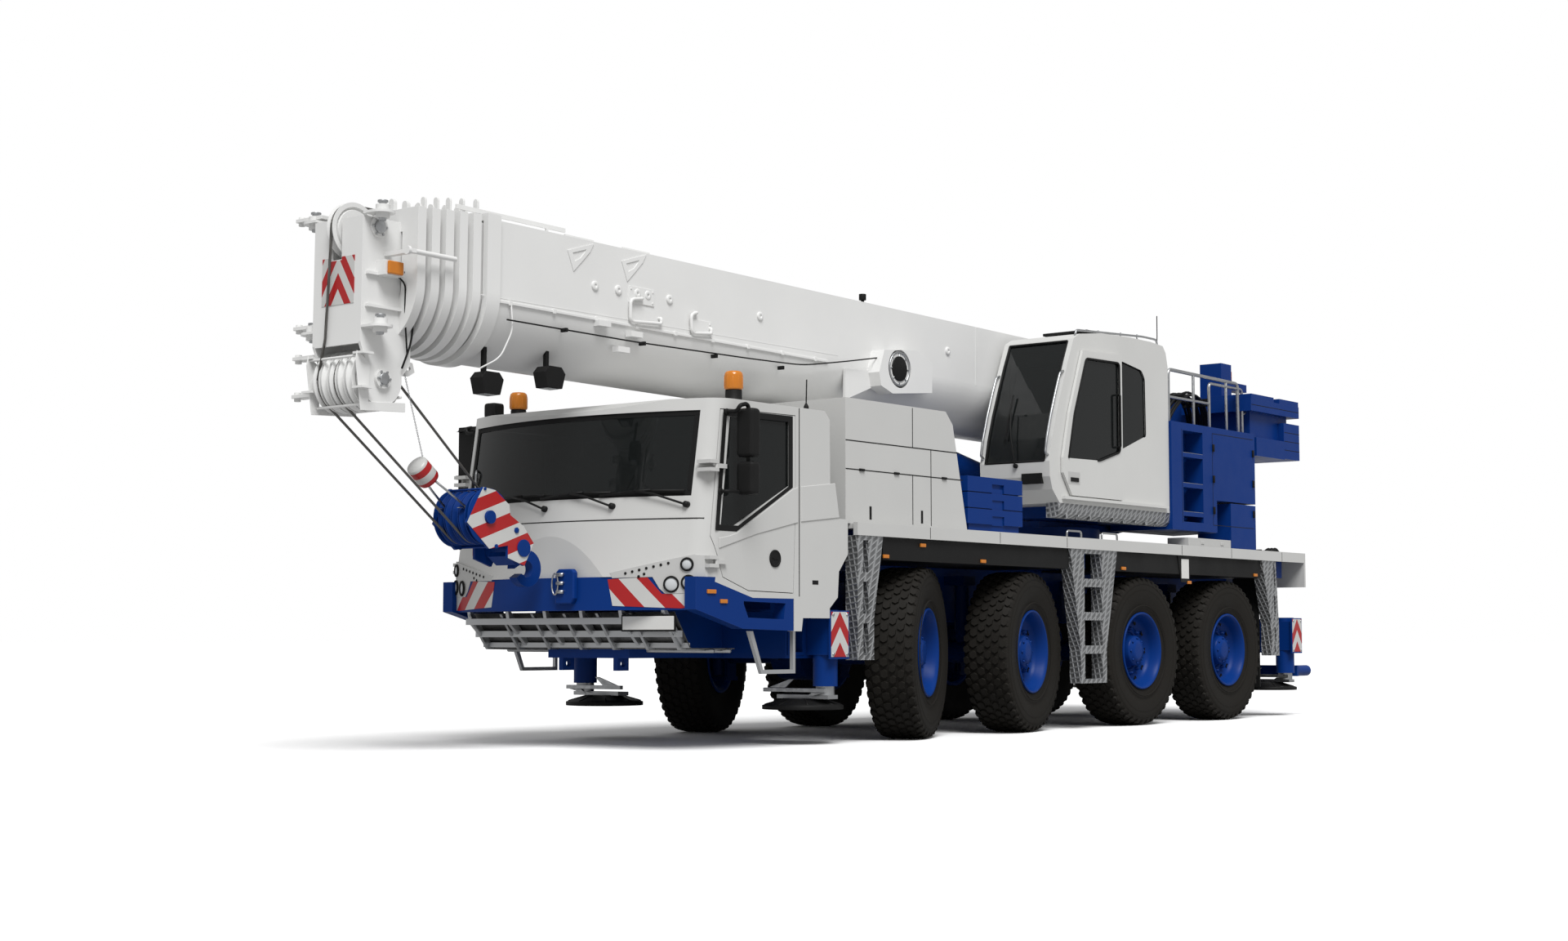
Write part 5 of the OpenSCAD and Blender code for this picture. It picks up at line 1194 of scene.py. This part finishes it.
def make_cabinet_details():
    """Seams, hinges and handles of the equipment cabinet, and treads in its recess."""
    bm = bmesh.new()
    for x in (-4.840, -4.230):
        add_box(bm, at(x - 0.003, 1.2195, 1.86), at(x + 0.003, 1.2215, 2.74), 0)
    for z in (1.86, 2.74):
        add_box(bm, at(-5.700, 1.2195, z - 0.003), at(-4.840, 1.2215, z + 0.003), 0)
    for z in (2.0, 2.3, 2.6):
        add_lathe(bm, [(0.0, -0.035), (0.012, -0.035), (0.012, 0.035), (0.0, 0.035)], at(-4.850, 1.228, z), (0, 0, 1), 16, 0)
        add_lathe(bm, [(0.0, -0.035), (0.012, -0.035), (0.012, 0.035), (0.0, 0.035)], at(-5.69, 1.228, z), (0, 0, 1), 16, 0)
    piece("cabinet_fittings", bm, BLACK, "superstructure", 0.001)
    bm = bmesh.new()
    for z in (1.925, 2.195, 2.480):
        add_box(bm, at(-4.643, 1.085, z + 0.0402), at(-4.252, 1.2195, z + 0.044), 0)
    piece("cabinet_treads", bm, ZINC, "superstructure", 0.001)


def make_rear():
    """Rails, hoses, winch rope, beacon, rings and stripes at the rear."""
    bm = bmesh.new()
    y = 1.10
    add_tube(bm, bent([at(-4.20, y, 2.80), at(-4.20, y, 3.31), at(-5.63, y, 3.30), at(-5.63, y, 2.80)], 0.06), 0.017, 12)
    add_tube(bm, [at(-4.20, y, 3.05), at(-5.02, y, 3.05)], 0.013, 10)
    add_tube(bm, bent([at(-5.02, y, 2.80), at(-5.02, y, 3.25), at(-5.72, y, 3.25), at(-5.72, y, 2.80)], 0.05), 0.015, 12)
    add_tube(bm, [at(-5.38, y, 2.80), at(-5.38, y, 3.30)], 0.014, 10)
    add_tube(bm, [at(-4.70, y, 2.80), at(-4.70, y, 3.30)], 0.014, 10)
    add_tube(bm, bent([at(-5.72, y, 3.0), at(-5.85, y, 3.05), at(-5.90, y, 3.155)], 0.05), 0.013, 10)
    for x in (-4.20, -4.70, -5.02, -5.38, -5.63):
        add_box(bm, at(x - 0.03, y - 0.03, 2.800), at(x + 0.03, y + 0.03, 2.808))
    piece("rear_rails", bm, ZINC, "superstructure", 0.001)
    bm = bmesh.new()
    for k in range(9):
        yy = 0.70 + 0.028 * k
        zz = 0.02 * math.sin(k * 2.3)
        hose = [at(-4.55, yy - 0.05, 2.78), at(-4.60, yy, 2.95 + zz), at(-4.80, yy, 3.10 + zz), at(-5.05, yy, 3.18 + zz),
                at(-5.30, yy - 0.02, 3.10 + zz), at(-5.46, yy - 0.06, 2.92), at(-5.50, yy - 0.10, 2.78)]
        add_tube(bm, bent(hose, 0.14, 4), 0.013, 8, 0)
    for x, z in ((-4.80, 3.10), (-5.30, 3.10)):
        add_box(bm, at(x - 0.02, 0.67, z - 0.04), at(x + 0.02, 0.96, z + 0.035), 0)
    # Hoses from the turning frame to the boom's foot
    for side in (1, -1):
        for k in range(3):
            yy = side * (0.50 + 0.022 * k)
            hose = [at(-4.55, yy, 2.45), at(-4.75, yy, 2.62), at(-4.88, yy, 2.85), at(-5.0, yy, 3.0)]
            add_tube(bm, bent(hose, 0.12, 4), 0.010, 8, 0)
    piece("hose_bundle", bm, BLACK, "superstructure", 0.002)
    # Rope wound on the winch
    bm = bmesh.new()
    profile = [(0.126, -0.29)]
    for k in range(29):
        yy = -0.285 + 0.02 * k
        profile += [(0.137, yy), (0.1425, yy + 0.005), (0.1445, yy + 0.010), (0.1425, yy + 0.015), (0.137, yy + 0.0195)]
    profile += [(0.126, 0.296)]
    add_lathe(bm, profile, at(-5.610, 0, 2.850), (0, 1, 0), 64)
    piece("winch_rope", bm, ROPE, "superstructure")
    bm = bmesh.new()
    add_lathe(bm, [(0.0, 0.0), (0.05, 0.0), (0.05, 0.02), (0.0, 0.02)], at(-6.20, 0.70, 3.400), (0, 0, 1), 24, 1)
    add_lathe(bm, [(0.05, 0.02), (0.05, 0.10), (0.035, 0.135), (0.0, 0.14)], at(-6.20, 0.70, 3.400), (0, 0, 1), 32, 0)
    piece("rear_beacon", bm, [LAMP, BLACK], "superstructure")
    bm = bmesh.new()
    for side in (1, -1):
        for x in (-6.10, -6.45):
            loop = [at(x + 0.05 * math.cos(t), side * 0.95, 3.175 + 0.05 * math.sin(t)) for t in [math.pi * i / 12 for i in range(-1, 14)]]
            add_tube(bm, loop, 0.010, 10)
    piece("slab_rings", bm, ZINC, "superstructure")
    # Joints between the stacked slabs, as dark lines
    bm = bmesh.new()
    for side in (1, -1):
        low, high = sorted((side * 1.2195, side * 1.2210))
        for z in (2.690, 2.780, 2.870):
            add_box(bm, at(-6.768, low, z - 0.003), at(-6.420, high, z + 0.003), 0)
        add_box(bm, at(-6.768, low, 3.093), at(-5.690, high, 3.099), 0)
        low, high = sorted((side * 1.060, side * 1.190))
        add_box(bm, at(-6.772, low, 2.62), at(-6.767, high, 2.94), 1)
    piece("slab_lines", bm, [DARK, STRIPES_REAR], "superstructure")


def make_pins():
    """Caps on the boom's pivot and on the luffing cylinder's pins."""
    for name, body, x, y, z, r, moved in (("pivot_caps", "boom_base", -5.150, 0.486, 2.990, 0.085, ON_BOOM),
                                         ("foot_pin_caps", "luff_barrel", -3.780, 0.485, 2.010, 0.056, None)):
        bm = bmesh.new()
        for side in (1, -1):
            add_lathe(bm, [(r, -0.001), (r, 0.006), (r * 0.8, 0.012), (r * 0.3, 0.012), (0.0, 0.010)], at(x, side * y, z), (0, side, 0), 40)
            for k in range(4):
                t = math.tau * (k + 0.5) / 4
                add_lathe(bm, [(0.009, 0.008), (0.009, 0.018), (0.0, 0.019)],
                          at(x + r * 0.55 * math.cos(t), side * y, z + r * 0.55 * math.sin(t)), (0, side, 0), 6)
        piece(name, bm, ZINC, body, moved=moved)


# Deck and carrier sides

def make_deck_items():
    """Grab loops, toolbox, clipped lines, markers and small brackets on the deck."""
    bm = bmesh.new()
    for side in (1, -1):
        for low, high in ((-2.41, -2.17), (-3.03, -2.76)):
            add_tube(bm, bent([at(low, side * 1.20, 1.637), at(low, side * 1.20, 1.705), at(high, side * 1.20, 1.705),
                               at(high, side * 1.20, 1.637)], 0.03), 0.009, 10)
    piece("deck_loops", bm, ZINC, "carrier")
    bm = bmesh.new()
    add_box(bm, at(-5.19, 1.00, 1.6375), at(-4.33, 1.225, 1.725), 0)
    for x in (-5.00, -4.60):
        add_box(bm, at(x - 0.03, 1.2245, 1.67), at(x + 0.03, 1.232, 1.70), 0)
    piece("deck_toolbox", bm, WHITE_DARK, "carrier", 0.008)
    bm = bmesh.new()
    for k in range(3):
        y = 0.98 + 0.035 * k
        line = [at(-5.80, y, 1.655), at(-6.40, y, 1.655), at(-6.52, y, 1.700), at(-6.60, y, 1.655)]
        add_tube(bm, bent(line, 0.06), 0.013, 8)
    for x in (-5.90, -6.15, -6.38):
        add_box(bm, at(x - 0.015, 0.955, 1.6375), at(x + 0.015, 1.075, 1.674), 0)
    piece("deck_lines", bm, BLACK, "carrier", 0.001)
    bm = bmesh.new()
    for side in (1, -1):
        for x, z in ((-4.275, 1.300), (-5.65, 1.400), (0.560, 1.400), (0.07, 1.500), (-0.78, 1.400), (-3.05, 1.400)):
            low, high = sorted((side * 1.2445, side * 1.2600))
            add_box(bm, at(x - 0.035, low, z - 0.014), at(x + 0.035, high, z + 0.014), 0)
    piece("deck_markers", bm, LAMP, "carrier", 0.004)
    # Blank plate on its bracket below the rail
    bm = bmesh.new()
    for side in (1, -1):
        low, high = sorted((side * 1.2445, side * 1.2520))
        add_prism(bm, [(-4.33 + MID_X, 1.545), (-4.06 + MID_X, 1.545), (-4.12 + MID_X, 1.300), (-4.28 + MID_X, 1.300)], 1, low, high, 0)
        low, high = sorted((side * 1.2515, side * 1.2560))
        add_box(bm, at(-4.265, low, 1.335), at(-4.125, high, 1.515), 1)
    piece("skirt_plate", bm, [BLACK, PLATE], "carrier", 0.001)
    # Tread plate in front of the operator's cab
    bm = bmesh.new()
    add_box(bm, at(-2.05, 0.98, 1.6375), at(-1.60, 1.23, 1.6450), 0)
    piece("deck_treads", bm, CHEQUER, "carrier", 0.001)
    # Seam strips down the deck's rail
    bm = bmesh.new()
    for side in (1, -1):
        low, high = sorted((side * 1.2745, side * 1.2765))
        for x in (-6.2, -5.1, -4.1, -2.05, -1.0, 0.0):
            add_box(bm, at(x - 0.0025, low, 1.553), at(x + 0.0025, high, 1.640), 0)
    piece("rail_seams", bm, DARK, "carrier")


def make_engine_cover():
    """Seams, handles, hinges and grille of the engine cover."""
    bm = bmesh.new()
    for side in (1, -1):
        low, high = sorted((side * 1.1995, side * 1.2020))
        for z, x_low, x_high in ((2.260, -0.515, 0.999), (2.045, -0.565, 0.999)):
            add_box(bm, at(x_low, low, z - 0.004), at(x_high, high, z + 0.004), 0)
        for x, z_low, z_high in ((-0.12, 1.66, 2.26), (0.13, 1.66, 2.045), (0.13, 2.26, 2.57)):
            add_box(bm, at(x - 0.004, low, z_low), at(x + 0.004, high, z_high), 0)
        for x, z in ((0.686, 1.726), (0.006, 1.725)):
            add_box(bm, at(x - 0.014, low, z - 0.050), at(x + 0.014, high, z + 0.050), 1)
        for x in (-0.30, 0.35, 0.80):
            add_lathe(bm, [(0.0, -0.03), (0.010, -0.03), (0.010, 0.03), (0.0, 0.03)], at(x, side * 1.206, 2.045), (1, 0, 0), 12, 1)
    piece("engine_cover_seams", bm, [DARK, BLACK], "carrier", 0.001)
    bm = bmesh.new()
    for k in range(12):
        x = -0.20 + 0.085 * k
        add_prism(bm, [(x + MID_X, 2.578), (x + 0.05 + MID_X, 2.578), (x + 0.045 + MID_X, 2.592), (x + 0.020 + MID_X, 2.592)], 1, -0.75, 0.75, 0)
    piece("engine_cover_louvres", bm, WHITE_DARK, "carrier")


def make_outrigger_stripes():
    """Striped end plates of the four outrigger beams."""
    for mark, x, side in (("fl", 1.135, 1), ("fr", 1.365, -1), ("rl", -6.575, 1), ("rr", -6.355, -1)):
        mat = stripes(f"chevrons_{mark}", (1.4, 0, 1), 0.131, -0.0228, fold=(x + MID_X, 0, 0.60))
        bm = bmesh.new()
        low, high = sorted((side * 1.2452, side * 1.2475))
        add_box(bm, at(x - 0.105, low, 0.645), at(x + 0.105, high, 0.975), 0)
        piece(f"stripes_{mark}", bm, mat, f"beam_{mark}", 0.001)
        bm = bmesh.new()
        low, high = sorted((side * 1.2470, side * 1.2560))
        for dx, z in ((-0.085, 0.665), (0.085, 0.665), (-0.085, 0.955), (0.085, 0.955)):
            add_lathe(bm, [(0.011, 0.0), (0.011, 0.007), (0.0, 0.008)], at(x + dx, side * 1.247, z), (0, side, 0), 6)
        piece(f"end_bolts_{mark}", bm, ZINC, f"beam_{mark}")


def make_pads():
    """Ribbed faces of the ground pads, in black."""
    for mark, x, side in (("fl", 1.135, 1), ("fr", 1.365, -1), ("rl", -6.575, 1), ("rr", -6.355, -1)):
        bm = bmesh.new()
        c = at(x, side * 0.900, 0.0)
        add_lathe(bm, [(0.0, 0.258), (0.302, 0.258), (0.3035, 0.262), (0.3035, 0.284), (0.302, 0.288), (0.245, 0.3045), (0.135, 0.3385)],
                  c, (0, 0, 1), 56)
        for k in range(8):
            t = math.tau * k / 8
            add_tube(bm, [c + Vector((0.14 * math.cos(t), 0.14 * math.sin(t), 0.334)),
                          c + Vector((0.285 * math.cos(t), 0.285 * math.sin(t), 0.292))], 0.007, 6)
        piece(f"pad_{mark}", bm, BLACK, f"jack_{mark}")
        # Stowing bar over the pad with its three-cornered holder
        bm = bmesh.new()
        low, high = sorted((side * 0.62, side * 1.20))
        add_box(bm, at(x + 0.090, low, 0.385), at(x + 0.125, high, 0.415), 0)
        add_prism(bm, [(side * 1.00, 0.345), (side * 1.19, 0.384), (side * 1.06, 0.384)], 0, x + 0.095 + MID_X, x + 0.103 + MID_X, 0)
        add_prism(bm, [(side * 0.66, 0.416), (side * 0.82, 0.416), (side * 0.90, 0.480), (side * 0.86, 0.480)], 0,
                  x + 0.100 + MID_X, x + 0.112 + MID_X, 0)
        piece(f"stow_bar_{mark}", bm, ZINC, f"jack_{mark}", 0.002)


# Floor, light and camera

FLOOR_LIGHT = 0.42


def make_floor():
    """A floor that looks white to the camera and takes the soft shadow."""
    bpy.ops.mesh.primitive_plane_add(size=600, location=(0, 0, 0))
    floor = bpy.context.object
    floor.name = "floor"
    mat, nodes, links, shader = new_material("floor_paint")
    path = nodes.new("ShaderNodeLightPath")
    links.new(two_tone(nodes, links, path.outputs["Is Camera Ray"], (FLOOR_LIGHT,) * 3, (1, 1, 1)), shader.inputs["Base Color"])
    shader.inputs["Roughness"].default_value = 0.95
    shader.inputs["Specular IOR Level"].default_value = 0.0
    floor.data.materials.append(mat)


def make_light():
    """White surround with one wide sun high on the left."""
    world = bpy.data.worlds.new("studio")
    bpy.context.scene.world = world
    world.use_nodes = True
    nodes, links = world.node_tree.nodes, world.node_tree.links
    back = nodes["Background"]
    back.inputs["Color"].default_value = (1, 1, 1, 1)
    path = nodes.new("ShaderNodeLightPath")
    seen = nodes.new("ShaderNodeMath")
    seen.operation = "MAXIMUM"
    links.new(path.outputs["Is Camera Ray"], seen.inputs[0])
    links.new(path.outputs["Is Transmission Ray"], seen.inputs[1])
    strength = nodes.new("ShaderNodeMapRange")
    strength.inputs["To Min"].default_value = 0.44
    strength.inputs["To Max"].default_value = 1.0
    links.new(seen.outputs["Value"], strength.inputs["Value"])
    links.new(strength.outputs["Result"], back.inputs["Strength"])
    lamp = bpy.data.lights.new("key", "SUN")
    lamp.energy = 3.1
    lamp.angle = math.radians(30)
    key = bpy.data.objects.new("key", lamp)
    bpy.context.scene.collection.objects.link(key)
    key.rotation_euler = Vector((-0.45, -0.55, -0.95)).to_track_quat("-Z", "Y").to_euler()


def make_camera():
    """The photograph's viewpoint."""
    data = bpy.data.cameras.new("camera")
    data.lens = CAMERA_LENS
    data.sensor_width = 36
    data.clip_end = 500
    camera = bpy.data.objects.new("camera", data)
    bpy.context.scene.collection.objects.link(camera)
    camera.location = CAMERA_AT
    yaw, pitch = math.radians(CAMERA_YAW), math.radians(CAMERA_PITCH)
    look = Vector((math.cos(yaw) * math.cos(pitch), math.sin(yaw) * math.cos(pitch), math.sin(pitch)))
    camera.rotation_euler = look.to_track_quat("-Z", "Y").to_euler()
    bpy.context.scene.camera = camera


make_camera()
make_light()
make_floor()
make_wheels()
make_bumper_trim()
make_windscreen_trim()
make_mirrors()
make_cab_sides()
make_beacons()
make_boom_dressing()
make_collar_ears()
make_head_dressing()
make_ropes()
make_hook_dressing()
make_operator_cab()
make_operator_sill()
make_cabinet_details()
make_rear()
make_pins()
make_deck_items()
make_engine_cover()
make_outrigger_stripes()
make_pads()

bpy.context.scene.view_settings.view_transform = "Standard"
